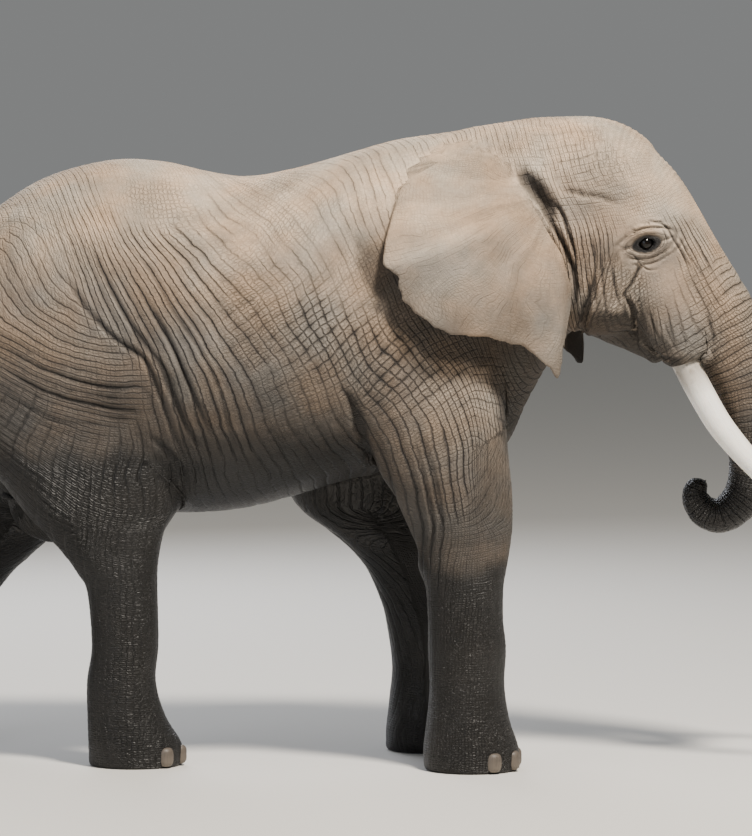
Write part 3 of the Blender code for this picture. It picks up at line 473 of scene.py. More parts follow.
# %% Shells
def round_turns(around):
    """Even angles round a ring, without the last, which is the first again."""
    return np.linspace(0, 2 * np.pi, around, endpoint=False)


def ring_faces(rings, around):
    """Quads between neighbouring rings, and one flat face on each end."""
    k = np.arange(around)
    start = (np.arange(rings - 1) * around)[:, None]
    ahead = np.roll(k, -1)
    quads = np.stack([start + k, start + ahead, start + around + ahead, start + around + k], axis=-1)
    caps = [k[::-1].tolist(), (k + (rings - 1) * around).tolist()]
    return quads.reshape(-1, 4).tolist() + caps


def limb_surface(part, around=64):
    """Each ring: path + half width x c(angle) sideways + front or back x s(angle) facing.

    c and s are the cosine and sine raised to 2 / power, keeping their signs.
    """
    cos, sin = np.cos(round_turns(around)), np.sin(round_turns(around))
    e = 2 / part["power"]
    u, v = np.sign(cos) * np.abs(cos) ** e, np.sign(sin) * np.abs(sin) ** e
    side, front, rear = part["sizes"].T[:, :, None]
    points = part["path"][:, None] + (side * u)[..., None] * SIDEWAYS
    points = points + (np.where(v > 0, front, rear) * v)[..., None] * part["facing"][:, None]
    return points.reshape(-1, 3), ring_faces(len(points), around)


def swell_surface(part, around=48, rings=22):
    """Latitude and longitude on the ellipsoid, without its two poles, turned and placed."""
    latitude = np.linspace(-np.pi / 2, np.pi / 2, rings + 2)[1:-1, None]
    longitude = round_turns(around)
    ball = np.broadcast_arrays(np.cos(latitude) * np.cos(longitude), np.cos(latitude) * np.sin(longitude),
                               np.sin(latitude))
    x, y, z = (along * radius for along, radius in zip(ball, part["radii"]))
    x, z = turned(x, z, part["turn"])
    return (np.stack([x, y, z], axis=-1) + part["centre"]).reshape(-1, 3), ring_faces(rings, around)


def mirrored(points, faces):
    """The same shell on the other side of the middle plane, its faces turned back outwards."""
    return points * [1, -1, 1], [face[::-1] for face in faces]


def joined(shells):
    """Many shells as one: their points in a row, and their faces counted on."""
    starts = np.cumsum([0] + [len(points) for points, _ in shells])
    faces = [[i + int(start) for i in face] for start, (_, rows) in zip(starts, shells) for face in rows]
    return np.vstack([points for points, _ in shells]), faces


# %% [markdown]
# ### Ears
# An African elephant's ear is a sheet of gristle under thin hide, as wide as the head is
# long. It hangs from a ridge behind the cheek, stands off the neck, and its rim is thin
# and wavy. The sheet is a function of two numbers: how far along the root, and how far
# from root to rim. Waves that fan out from the root give it the ripples of a relaxed ear.

# %% Ear sheet
# Rim forward, up, side; root forward, up, lift off the flesh.
EAR_STATIONS = [
    (0.720, 3.000, 0.150, 0.790, 2.940, -0.090), (0.610, 3.085, 0.190, 0.785, 2.935, -0.085),
    (0.500, 3.125, 0.245, 0.780, 2.930, -0.070), (0.346, 3.061, 0.360, 0.785, 2.915, -0.045),
    (0.226, 2.915, 0.500, 0.800, 2.890, -0.030), (0.175, 2.738, 0.650, 0.830, 2.840, -0.012),
    (0.144, 2.512, 0.735, 0.863, 2.790, -0.002), (0.203, 2.440, 0.742, 0.888, 2.745, 0.000),
    (0.257, 2.315, 0.750, 0.916, 2.695, 0.000), (0.412, 2.184, 0.740, 0.943, 2.642, -0.004),
    (0.640, 2.138, 0.680, 0.975, 2.590, -0.010), (0.792, 2.102, 0.620, 1.002, 2.545, -0.018),
    (0.910, 2.022, 0.560, 1.014, 2.502, -0.026), (0.986, 1.936, 0.500, 1.023, 2.465, -0.035),
    (1.012, 2.080, 0.440, 1.032, 2.435, -0.045), (1.030, 2.201, 0.400, 1.040, 2.410, -0.050),
    (1.046, 2.290, 0.360, 1.048, 2.388, -0.060),
]
EAR_RIPPLE = 0.016                       # metres that the ripples rise at the rim
EAR_FANS = 9                             # ripples between the ear's two corners
STAND, HUG = 0.038, 0.006                # metres off the flesh, where free and at its top
SINK, BEHIND = 0.06, 0.02                # metres into the flesh: the top corner, and the inner side there
NIBBLE = 0.009                           # depth of the bites in the rim, as a share of the ear's reach
RIM_THICK, ROOT_THICK = 0.009, 0.014     # half thickness
LEFT_SWING, TIP_SWING = 0.045, 0.02      # how much further forward the left ear's lower end and tip hang
TIP_FROM, TIP_LIFT = 1.965, 0.75         # height under which its tip is drawn up, and by what share


def ear_surface(along=150, across=40):
    """A flat ring carried along the root of the left ear, reaching from root to rim.

    At share t of the way from root to rim the sheet stands off sideways by
    root + (rim - root) x (1 - (1 - t)^2.2), and clear of the flesh by STAND.
    Towards its top corner it first hugs the neck by HUG and then sinks into it, and
    there its inner side reaches into the flesh, so that no gap is left behind it.
    Ripples of EAR_FANS half sine waves along the root grow with t, and its rim is nibbled
    by two quick waves. Its half thickness falls from ROOT_THICK to RIM_THICK and is
    laid off straight sideways.
    """
    c = curve(EAR_STATIONS, along)
    rim_x, rim_z, rim_y, root_x, root_z, lift = c.T[:, :, None]
    s = np.linspace(0, 1, along)[:, None]
    t = (1 - np.cos(np.linspace(0, np.pi, across))) / 2
    bite = np.sin(60 * s + 3 * np.sin(9 * s)) + 0.7 * np.sin(163 * s + 5 * np.sin(11 * s))
    out = t + NIBBLE * bite * t**5 * smoothstep(0.30, 0.45, s) * (1 - smoothstep(0.9, 1.0, s))
    x, z = root_x + (rim_x - root_x) * out, root_z + (rim_z - root_z) * out
    root_y = skin_side(root_x, root_z) + np.maximum(lift, STAND - 0.05 * smoothstep(0.8, 1.0, s))
    y = root_y + (rim_y - root_y) * (1 - (1 - t) ** 2.2)
    fans = np.sin(2 * np.pi * (EAR_FANS / 2 * s + 0.35 * np.sin(5 * s + 2 * t)))
    y = y + EAR_RIPPLE * fans * t**1.5 * np.sin(np.pi * s)
    free, shown = smoothstep(0.22, 0.46, s), smoothstep(0.14, 0.30, s)
    hide = skin_side(x, z)
    sunk = hide + HUG - SINK * (1 - shown)
    y = np.maximum(sunk + (y - sunk) * free, sunk + (STAND - HUG) * free)
    sheet = np.stack([x, y, z], axis=-1)
    normal = unit(np.cross(np.gradient(sheet, axis=1), np.gradient(sheet, axis=0)))
    lean = np.maximum(np.abs(normal[..., 1]), 1 - 0.55 * free)
    thick = RIM_THICK + (ROOT_THICK - RIM_THICK) * (1 - t)
    offset = (thick * np.clip(4 * t * (1 - t), 0, 1) ** 0.2 / lean)[..., None] * SIDEWAYS
    inner = sheet - offset
    filled = np.minimum(inner[..., 1], hide - BEHIND)
    inner[..., 1] += (filled - inner[..., 1]) * (1 - smoothstep(0.28, 0.42, s))
    rings = np.concatenate([sheet + offset, inner[:, -2:0:-1]], axis=1)
    return rings.reshape(-1, 3), [face[::-1] for face in ring_faces(along, rings.shape[1])]


ear_points, ear_faces = ear_surface()
ear_height = ear_points[:, 2:]
swing = LEFT_SWING * smoothstep(2.6, 2.0, ear_height) + TIP_SWING * smoothstep(2.25, 2.02, ear_height)
swing = swing * [1, 0, 0] + TIP_LIFT * np.maximum(TIP_FROM - ear_height, 0) * [0, 0, 1]
print("ear spans", np.ptp(ear_points, axis=0).round(2))

# %% Mesh helpers
def mesh_object(name, points, faces):
    """A new object of those points and faces, in the scene."""
    mesh = bpy.data.meshes.new(name)
    mesh.from_pydata(np.asarray(points).tolist(), [], faces)
    mesh.update()
    obj = bpy.data.objects.new(name, mesh)
    bpy.context.scene.collection.objects.link(obj)
    return obj


def rows_of(items, name, width=3, kind=np.float32):
    """One property of all vertices, normals or edges of a mesh, as rows of numbers."""
    out = np.empty(len(items) * width, kind)
    items.foreach_get(name, out)
    return out.reshape(-1, width)


def points_of(mesh):
    """The mesh's vertex places, as rows."""
    return rows_of(mesh.vertices, "co").astype(float)


def normals_of(mesh):
    """The mesh's vertex normals, as rows."""
    return rows_of(mesh.vertex_normals, "vector").astype(float)


def write_attribute(mesh, name, values):
    """Writes a number or a vector on every point, for the finish to read."""
    kind, key = ("FLOAT", "value") if values.ndim == 1 else ("FLOAT_VECTOR", "vector")
    layer = mesh.attributes.new(name, kind, "POINT")
    layer.data.foreach_set(key, values.astype(np.float32).ravel())


def move_points(mesh, points):
    """Puts every vertex at its new place."""
    mesh.vertices.foreach_set("co", points.astype(np.float32).ravel())
    mesh.update()


def modified(obj, kind, **settings):
    """Adds a modifier and makes its result the object's own mesh."""
    modifier = obj.modifiers.new(kind.title(), kind)
    for name, value in settings.items():
        setattr(modifier, name, value)
    graph = bpy.context.evaluated_depsgraph_get()
    mesh = bpy.data.meshes.new_from_object(obj.evaluated_get(graph))
    obj.modifiers.clear()
    old, obj.data = obj.data, mesh
    bpy.data.meshes.remove(old)
    return obj


# %% Melt the forms together
VOXEL = 0.0085  # metres

shells = [limb_surface(part) for part in [TORSO, HEAD, JAW, TAIL] + LEGS]
shells += [swell_surface(CROWN), swell_surface(GROIN)]
paired = [limb_surface(SHEATH), limb_surface(RIDGE)]
paired += [swell_surface(part) for part in BODY_SWELLS + HEAD_SWELLS]
shells += paired + [mirrored(*shell) for shell in paired]
shells += [mirrored(ear_points, ear_faces), (ear_points + swing, ear_faces)]
skin = mesh_object("skin", *joined(shells))
modified(skin, "REMESH", mode="VOXEL", voxel_size=VOXEL)
modified(skin, "SMOOTH", factor=0.5, iterations=6)
print("melted skin has", len(skin.data.vertices), "points")

# %% Settle the flesh
EAR_FROM, EAR_FULL = 0.010, 0.028        # distance off the flesh where a point is ear
EAR_AHEAD, EAR_BELOW = 1.15, 1.85        # no ear lies ahead of this, or below that
HUG_EDGE, HUG_HEIGHT = (-0.03, 0.09), (2.60, 2.75)     # inside the outline and up, where it hugs the neck
THIN_COVER = (0.003, 0.010)              # how far off the flesh its sheet shows there
STEP_LIMIT, SLOPE_LIMITS = 0.05, (0.35, 2.0)           # metres a point may slide at once; slopes believed
EAR_OUTLINE = np.concatenate([curve(EAR_STATIONS, 40)[:, :2], curve(EAR_STATIONS, 12)[::-1, 3:5]])


def inside_line(p, line):
    """How far points lie inside a closed line, negative outside, on the side view."""
    a, b = line, np.roll(line, -1, axis=0)
    q = p[:, None, ::2]
    d = b - a
    t = np.clip(((q - a) * d).sum(-1) / (d**2).sum(-1), 0, 1)
    gap = np.linalg.norm(q - a - t[..., None] * d, axis=-1).min(1)
    crosses = (a[:, 1] > q[..., 1]) != (b[:, 1] > q[..., 1])
    level = a[:, 0] + (q[..., 1] - a[:, 1]) * d[:, 0] / np.where(np.abs(d[:, 1]) < 1e-9, 1e-9, d[:, 1])
    return gap * np.where((crosses & (q[..., 0] < level)).sum(1) % 2 == 1, 1, -1)


def ear_cover(p, low, high, top=1):
    """Share of ear: 1 off the flesh by more than high metres, and on the part that hugs the neck."""
    share = smoothstep(low, high, flesh_depth(p)) * (p[:, 0] < EAR_AHEAD) * (p[:, 2] > EAR_BELOW)
    near = np.flatnonzero((p[:, 0] > 0.1) & (p[:, 0] < 1.1) & (p[:, 2] > 2.5) & (np.abs(p[:, 1]) > 0.2))
    hugging = smoothstep(*HUG_EDGE, inside_line(p[near], EAR_OUTLINE)) * smoothstep(*HUG_HEIGHT, p[near, 2])
    thin = smoothstep(*THIN_COVER, flesh_depth(p[near])) * (hugging > 0.05)
    share[near] = np.maximum(share[near], np.maximum(top * hugging, thin))
    return share


def settle(mesh, rounds=3, probe=0.004):
    """Moves each point along its normal until its distance to the flesh is zero.

    Points of the ears lie off the flesh and stay.
    """
    ear = ear_cover(points_of(mesh), EAR_FROM, EAR_FULL, 0)
    for _ in range(rounds):
        p, n = points_of(mesh), normals_of(mesh)
        here = flesh_depth(p)
        slope = np.clip((flesh_depth(p + probe * n) - here) / probe, *SLOPE_LIMITS)
        step = np.clip(here / slope, -STEP_LIMIT, STEP_LIMIT) * (1 - ear)
        p = p - step[:, None] * n
        move_points(mesh, np.maximum(p, [-np.inf, -np.inf, 0]))


def relax(mesh, share, rounds):
    """Draws every point towards the mean of its neighbours, by half its share, some rounds over."""
    p = points_of(mesh)
    a, b = rows_of(mesh.edges, "vertices", 2, np.int32).T
    here, there = np.concatenate([a, b]), np.concatenate([b, a])
    count = np.maximum(np.bincount(here, minlength=len(p)), 1)[:, None]
    for _ in range(rounds):
        mean = np.stack([np.bincount(here, p[there, k], len(p)) for k in range(3)], axis=1) / count
        p = p + 0.5 * share[:, None] * (mean - p)
    move_points(mesh, p)


def inside_box(p, ahead, up, soft):
    """1 inside a box on the side view, fading to 0 over a soft edge outside it."""
    share = 1
    for k, (low, high) in ((0, ahead), (2, up)):
        share = share * smoothstep(low - soft, low, p[:, k]) * (1 - smoothstep(high, high + soft, p[:, k]))
    return share


def line_gap(p, line):
    """Distance from points to a line of dots, on the side view."""
    return np.sqrt(np.min([(p[:, 0] - x) ** 2 + (p[:, 2] - z) ** 2 for x, z in line], axis=0))


# Places where folded layers meet and are drawn smooth: forward, up, soft edge.
EAR_TOP = (0.08, 0.90), (2.66, 3.12), 0.06
ARMPIT = (-0.10, 0.14), (1.25, 1.90), 0.05
TAIL_ROOT = (-2.24, -1.90), (2.44, 2.78), 0.06
ROOT_REACH = 0.07                        # metres round the ear's root

settle(skin.data)
relax(skin.data, np.ones(len(skin.data.vertices)), 2)
p = points_of(skin.data)
at_root = np.exp(-(line_gap(p, curve(EAR_STATIONS, 60)[:, 3:5]) / ROOT_REACH) ** 2) * (np.abs(p[:, 1]) > 0.1)
relax(skin.data, at_root, 6)
p = points_of(skin.data)
off_middle = np.abs(p[:, 1])
at_top = inside_box(p, *EAR_TOP) * smoothstep(0.12, 0.18, off_middle)
relax(skin.data, at_top * (1 - 0.6 * smoothstep(0.02, 0.05, flesh_depth(p))), 16)
relax(skin.data, inside_box(p, *ARMPIT) * smoothstep(0.30, 0.40, off_middle), 25)
relax(skin.data, inside_box(p, *TAIL_ROOT) * (off_middle < 0.3), 30)
ear_share = ear_cover(points_of(skin.data), EAR_FROM, EAR_FULL)
print("points on the ears", int((ear_share > 0.5).sum()))

# %% [markdown]
# ## Which way the hide is creased
# Elephant hide cracks along lines that follow the way the body bends: long folds sweep
# from the hip down the front of the thigh, nets cover the ribs, lines swirl round the
# elbow, and rings cross the trunk. A groomer would comb such lines with a few strokes.
# The table holds those strokes, and two smooth maps are solved from them, like two sets
# of contour lines that cross each other. Any pattern drawn on these maps then follows
# the body by itself, both the sculpted folds and the fine cracks of the finish.

# %% Combing strokes
# Place (forward, up), lean of the first and second set of lines in degrees above
# forward, then the strength of each set and of the fine net between them.
STROKES = [
    (-2.10, 2.45, -75, 15, .25, .1, .5), (-1.90, 2.05, -50, 35, .4, .3, .5),
    (-1.60, 2.05, -32, 50, .7, .25, .6), (-1.60, 1.77, -32, 48, .75, .6, .6),
    (-1.46, 2.25, -48, 75, .7, .1, .4), (-1.52, 2.46, -72, 70, .5, .1, .3),
    (-1.32, 2.61, -45, 118, .15, .6, .3), (-1.15, 2.46, -20, 126, .1, .8, .3),
    (-0.96, 2.24, 0, 128, .1, 1., .3), (-0.91, 2.05, 5, 122, .1, 1., .2),
    (-0.77, 1.77, 15, 115, .1, 1., .2), (-0.63, 1.77, 20, 108, .1, .9, .3),
    (-0.56, 1.64, 15, 100, .1, .8, .3), (-0.77, 2.42, 40, 146, .15, .7, .3),
    (-0.49, 2.26, 35, 140, .55, .55, .7), (-1.25, 2.05, -12, 95, .8, .1, .4),
    (-1.11, 1.91, -10, 105, .8, .15, .5), (-1.41, 1.49, -26, 66, .6, .5, .8),
    (-1.03, 1.49, -25, 92, .1, .6, .5), (-0.92, 1.56, 0, 115, .15, .5, .6),
    (-1.34, 1.24, -18, 76, .6, .5, .9), (-1.13, 1.14, -10, 82, .4, .3, .9),
    (-1.20, 0.97, -6, 85, .25, .35, .9), (-1.17, 0.50, 0, 88, .25, .2, .9),
    (-1.95, 1.05, -28, 62, .3, .2, .9), (-2.20, 0.60, -15, 75, .25, .2, .9),
    (-2.27, 0.30, 0, 90, .2, .15, .9), (-0.63, 1.46, 10, 98, .1, .4, .4),
    (-0.55, 2.58, 60, 164, .1, .4, .4), (-0.20, 2.68, 50, 140, .15, .4, .4),
    (-1.04, 2.87, 10, 155, .1, .12, .5), (-0.30, 2.90, 60, 155, .12, .3, .5),
    (-0.43, 2.43, 35, 148, .35, .4, .45), (-0.49, 2.14, 40, 138, .5, .6, .7),
    (-0.15, 2.22, 45, 132, .7, .75, .5), (-0.01, 2.38, 42, 130, .35, .35, .4),
    (-0.01, 2.05, 50, 124, .7, .7, .5), (-0.15, 1.80, 15, 105, .4, .5, .6),
    (-0.36, 1.87, 30, 122, .45, .45, .6), (-0.43, 1.66, 10, 112, .4, .5, .7),
    (0.14, 1.94, 60, 140, .7, .9, .6), (0.35, 1.87, 42, 134, .6, .9, .5),
    (0.49, 1.94, 35, 120, .5, .8, .3), (0.62, 1.87, 28, 104, .5, .8, .3),
    (0.40, 1.65, 40, 132, .35, 1., .4), (0.61, 1.59, 20, 100, .4, .8, .3),
    (0.27, 1.54, 35, 135, .35, .95, .6), (0.35, 1.38, 5, 94, .2, 1., .4),
    (0.31, 1.19, -2, 82, .2, 1., .5), (0.48, 1.38, 8, 102, .4, .9, .4),
    (0.62, 1.33, 3, 95, .5, .5, .4), (0.55, 1.19, 10, 92, .55, .35, .5),
    (0.69, 1.02, 5, 92, .3, .35, .6), (0.53, 0.70, 3, 90, .28, .2, .9),
    (0.53, 0.30, 0, 90, .2, .15, .9), (0.06, 2.89, 15, 108, .1, .4, .2),
    (0.45, 2.60, 10, 100, .1, .4, .3), (0.75, 2.30, 5, 95, .1, .5, .3),
    (1.13, 2.98, 5, 95, .45, .5, .35), (1.29, 2.98, 10, 100, .35, .4, .4),
    (1.42, 3.15, 30, 120, .1, .1, .35), (1.32, 2.84, 10, 110, .12, .15, .35),
    (1.06, 2.86, 0, 120, .35, .4, .35), (1.13, 2.49, 5, 92, .1, .9, .3),
    (1.27, 2.39, 10, 102, .1, .8, .4), (1.39, 2.39, 38, 120, .3, .3, 1.),
    (1.42, 2.23, 30, 112, .1, .7, .4), (1.57, 2.13, 25, 108, .1, .6, .3),
    (1.50, 2.40, 30, 115, .15, .15, .3), (1.63, 2.60, 35, 122, .1, .8, .2),
    (1.70, 2.31, 38, 120, .4, .6, .5), (1.83, 2.42, 38, 125, .7, .3, .4),
    (1.75, 2.15, 35, 118, .5, .5, .6), (1.67, 2.81, 35, 125, .15, .1, .2),
    (1.86, 1.84, 17, 105, 1., .2, .5),
]
# Long folds down the flank and round the hip, each row of them equally strong.
FLANK_STROKES, FLANK_STRENGTH = [
    (-1.25, 2.49, 5, 117), (-1.16, 2.31, 5, 120), (-1.05, 2.16, 5, 129), (-0.95, 2.01, 5, 123),
    (-0.86, 1.83, 20, 108), (-0.78, 1.63, 20, 113), (-1.05, 2.52, 5, 132), (-0.94, 2.36, 5, 122),
    (-0.82, 2.18, 20, 125), (-0.70, 1.99, 20, 117), (-0.63, 1.78, 20, 103), (-0.58, 1.62, 20, 117),
    (-0.96, 2.24, 5, 122), (-0.87, 2.06, 20, 115), (-0.78, 1.87, 20, 113), (-0.70, 1.67, 20, 113),
], (.1, .9, .25)
HIP_STROKES, HIP_STRENGTH = [
    (-1.65, 1.94, -30, 60), (-1.47, 1.86, -19, 90), (-1.27, 1.81, -8, 90), (-1.63, 2.04, -26, 60),
    (-1.44, 1.95, -19, 90), (-1.25, 1.91, -9, 90), (-1.11, 1.90, 4, 90),
], (.8, .15, .4)
STROKES = np.array(STROKES + [row + FLANK_STRENGTH for row in FLANK_STROKES]
                   + [row + HIP_STRENGTH for row in HIP_STROKES])
COMB_CELL = 0.05                         # metres
COMB_FROM = np.array([-2.75, -0.15])
COMB_CELLS = (108, 84)
STROKE_NEAR, STROKE_FADE = 0.08, 2.5     # metres, power by which a stroke's pull fades away

comb_u = COMB_FROM[0] + COMB_CELL * np.arange(COMB_CELLS[0])[:, None, None]
comb_v = COMB_FROM[1] + COMB_CELL * np.arange(COMB_CELLS[1])[None, :, None]
stroke_gap = (comb_u - STROKES[:, 0]) ** 2 + (comb_v - STROKES[:, 1]) ** 2 + STROKE_NEAR**2
stroke_pull = 1 / stroke_gap**STROKE_FADE
stroke_pull /= stroke_pull.sum(-1, keepdims=True)
combed = stroke_pull @ STROKES[:, 2:]
print("strokes", len(STROKES), "spread over a comb of", COMB_CELLS, "cells")

# %% Solve the two maps
COMB_ROUNDS, CLOSEST, WIDEST, FAINTEST = 80, 1.5, 0.65, 0.08


def contour_map(lean, strength):
    """The smooth map whose contours lean as asked and lie about a metre apart per metre.

    Its slope should point square to the lines. The map that comes nearest solves
    Poisson's equation with closed edges, which a mirrored Fourier transform does.
    No map fits every stroke, so it is solved many times over: each time the slope asked
    for is the slope found, drawn towards the comb by the strength of the lines there.
    Where lines must crowd or spread to follow the comb, they may, within two limits.
    """
    across = np.radians(lean - 90)
    square_x, square_z = np.cos(across), np.sin(across)
    n, m = lean.shape
    kx, kz = np.arange(2 * n)[:, None], np.arange(2 * m)[None]
    stiffness = 2 * np.cos(np.pi * kx / n) + 2 * np.cos(np.pi * kz / m) - 4
    stiffness[0, 0] = 1
    pull = np.clip(strength, FAINTEST, 1)
    slope, found_x, found_z = np.ones_like(lean), square_x, square_z
    for _ in range(COMB_ROUNDS):
        gx = (found_x + pull * (slope * square_x - found_x)) * COMB_CELL
        gz = (found_z + pull * (slope * square_z - found_z)) * COMB_CELL
        rise = np.zeros_like(lean)
        east, north = (gx[1:] + gx[:-1]) / 2, (gz[:, 1:] + gz[:, :-1]) / 2
        rise[:-1] += east
        rise[1:] -= east
        rise[:, :-1] += north
        rise[:, 1:] -= north
        doubled = np.concatenate([rise, rise[::-1]], axis=0)
        doubled = np.concatenate([doubled, doubled[:, ::-1]], axis=1)
        waves = np.fft.fft2(doubled) / stiffness
        waves[0, 0] = 0
        height = np.fft.ifft2(waves).real[:n, :m]
        found_x, found_z = np.gradient(height, COMB_CELL)
        slope = found_x * square_x + found_z * square_z
        slope = np.clip(slope / ((slope * pull).sum() / pull.sum()), WIDEST, CLOSEST)
    return height


solved = [contour_map(combed[..., k], combed[..., k + 2]) for k in range(2)]
comb_maps = np.concatenate([np.stack(solved, axis=-1), combed[..., 2:]], axis=-1)


def read_comb(u, v):
    """The five maps at places on the laid-out side view, blended between cells."""
    x = np.clip((u - COMB_FROM[0]) / COMB_CELL, 0, COMB_CELLS[0] - 1.001)
    y = np.clip((v - COMB_FROM[1]) / COMB_CELL, 0, COMB_CELLS[1] - 1.001)
    i, j = x.astype(int), y.astype(int)
    s, t = (x - i)[:, None], (y - j)[:, None]
    low = comb_maps[i, j] * (1 - s) + comb_maps[i + 1, j] * s
    high = comb_maps[i, j + 1] * (1 - s) + comb_maps[i + 1, j + 1] * s
    return low * (1 - t) + high * t


print("maps range", comb_maps[..., 0].min().round(2), "to", comb_maps[..., 0].max().round(2))

# %% Lay the skin out flat
TRUNK_FROM = 1.32                        # length along the head's middle line where rings take over
TRUNK_BLEND = 0.30
RING_STRENGTHS = 0.75, 0.3, 0.7          # of rings, of lines along the trunk and of the net
LEG_TOPS = (1.25, 1.15, 1.20, 1.20)      # where each leg leaves the body
LEG_REACH = 1.6                          # radii from a leg's middle line that still count as leg
HEAD_FROM, HEAD_HEIGHT = (0.55, 0.95), (1.1, 1.3)      # where the head's unrolling fades in
BARREL_HEIGHT, BARREL_RADIUS = 2.05, 0.80


def laid_out(p):
    """Side-view places with the round parts unrolled, as a hide is pegged out.

    Body: height becomes arc length round the barrel. Leg: forward becomes arc length
    round the column, cut open on its inner side. Head: arc length round its middle line.
    Returns u, v, the length along the head's line, the arc there, and the share of trunk.
    """
    x, y, z = p.T
    u, v = x.copy(), BARREL_HEIGHT + BARREL_RADIUS * np.arctan2(z - BARREL_HEIGHT, np.abs(y) + 0.02)
    s, size, side, reach, _ = limb_place(HEAD, p)
    arc = size.mean(1) * np.arctan2(reach, np.abs(side) + 0.01)
    row = np.arange(len(HEAD["path"]))
    middle = np.stack([np.interp(s, row, HEAD["path"][:, k]) for k in (0, 2)])
    facing = np.stack([np.interp(s, row, HEAD["facing"][:, k]) for k in (0, 2)])
    head = smoothstep(*HEAD_FROM, x) * np.where(x > 1.3, 1, smoothstep(*HEAD_HEIGHT, z))
    u = u * (1 - head) + head * (middle[0] + facing[0] * arc)
    v = v * (1 - head) + head * (middle[1] + facing[1] * arc)
    for leg, top in zip(LEGS, LEG_TOPS):
        centre = [np.interp(-z, -leg["path"][:, 2], leg["path"][:, k]) for k in (0, 1)]
        out = np.sign(leg["path"][-1, 1])
        radius = np.interp(-z, -leg["path"][:, 2], leg["sizes"].mean(1))
        turn = np.arctan2(x - centre[0], out * (y - centre[1]))
        near = np.hypot(x - centre[0], y - centre[1]) < radius * LEG_REACH
        share = near * (1 - smoothstep(top - 0.15, top + 0.10, z)) * (x < 1.1)
        u = u * (1 - share) + share * (centre[0] + radius * turn)
        v = v * (1 - share) + share * z
    along = np.interp(s, row, HEAD["length"])
    trunk = smoothstep(TRUNK_FROM - TRUNK_BLEND / 2, TRUNK_FROM + TRUNK_BLEND / 2, along) * (x > 1.2)
    return u, v, along, arc, trunk


trunk_root = HEAD["path"][int(np.interp(TRUNK_FROM, HEAD["length"], np.arange(len(HEAD["path"]))))]
trunk_start = read_comb(trunk_root[:1], trunk_root[2:])[0]
print("rings start at", trunk_root.round(2))


LIDS_END, COMB_WHOLE = 0.13, 0.21        # metres from the eye: lid folds end, and combed ones are whole


def eye_gap(p):
    """Distance from the eye on the side view, with height counted a quarter more."""
    return np.hypot(p[:, 0] - EYE_AT[0], 1.25 * (p[:, 2] - EYE_AT[1]) + 0.015)


@in_blocks
def comb(p):
    """First and second map, strengths of both and of the net, and the length along the head.

    Round the eye the strengths fall to nothing, since the lids have folds of their own.
    """
    u, v, along, arc, trunk = laid_out(p)
    rings = np.stack(np.broadcast_arrays(trunk_start[0] + along - TRUNK_FROM, trunk_start[1] + arc,
                                         *RING_STRENGTHS), axis=1)
    maps = read_comb(u, v) * (1 - trunk[:, None]) + rings * trunk[:, None]
    maps[:, 2:] *= smoothstep(LIDS_END, COMB_WHOLE, eye_gap(p))[:, None]
    return np.column_stack([maps, along])


# %% [markdown]
# ## Folds and wrinkles in the form
# Folds wider than a finger are real shape, so they are sculpted: every point moves in
# or out along its normal. The body's folds are rows of rounded pads with sharp grooves
# between, drawn on the combed maps. The folds of the face are drawn one by one, as
# short lines that the hide always creases along.

# %% Noise
LATTICE = np.random.default_rng(7).random((32, 32, 32))


def noise(p):
    """Random numbers on a grid of unit cells, blended across each cell by 3t^2 - 2t^3."""
    cell = np.floor(p).astype(int)
    t = p - cell
    t = t * t * (3 - 2 * t)
    total = 0
    for corner in np.ndindex(2, 2, 2):
        weight = np.prod(np.where(corner, t, 1 - t), axis=1)
        i, j, k = ((cell + corner) % 32).T
        total = total + weight * LATTICE[i, j, k]
    return total


def rough(p, size, octaves=3):
    """Layers of noise, each half as large and half as strong, from about -1 to 1."""
    layers = [noise(p / size * 2**k + 7.3 * k) * 0.5**k for k in range(octaves)]
    return (2 * sum(layers) / (2 - 0.5 ** (octaves - 1)) - 1) * 1.6


# %% Fold pattern
FIRST_SPACING, SECOND_SPACING = 0.058, 0.068      # metres between folds of each set
BEND, SWAY = (0.30, 0.24), (0.10, 0.06)  # size of the noise that bends them, and its share of a fold
PAD_MEAN = 0.76                          # average height of the square root of |sin|


def phases(p, maps):
    """Counts of folds passed along each map, so a fold lies at every whole number.

    Slow noise bends the lines and changes their spacing, as they run in real hide.
    """
    bend = rough(p, BEND[0]) * BEND[1]
    sway = rough(p + 3.1, SWAY[0], 2) * SWAY[1]
    return maps[:, 0] / FIRST_SPACING + bend + sway, maps[:, 1] / SECOND_SPACING + bend - sway


def pads(phase):
    """Rounded pads with a groove at each whole number: the square root of |sin(pi phase)|, levelled."""
    return np.sqrt(np.abs(np.sin(np.pi * phase))) - PAD_MEAN


def broken(p, size, share):
    """Patches where a set of folds is strong, and gaps where it dies out."""
    return smoothstep(-0.5, 0.4, rough(p, size, 2) + share)


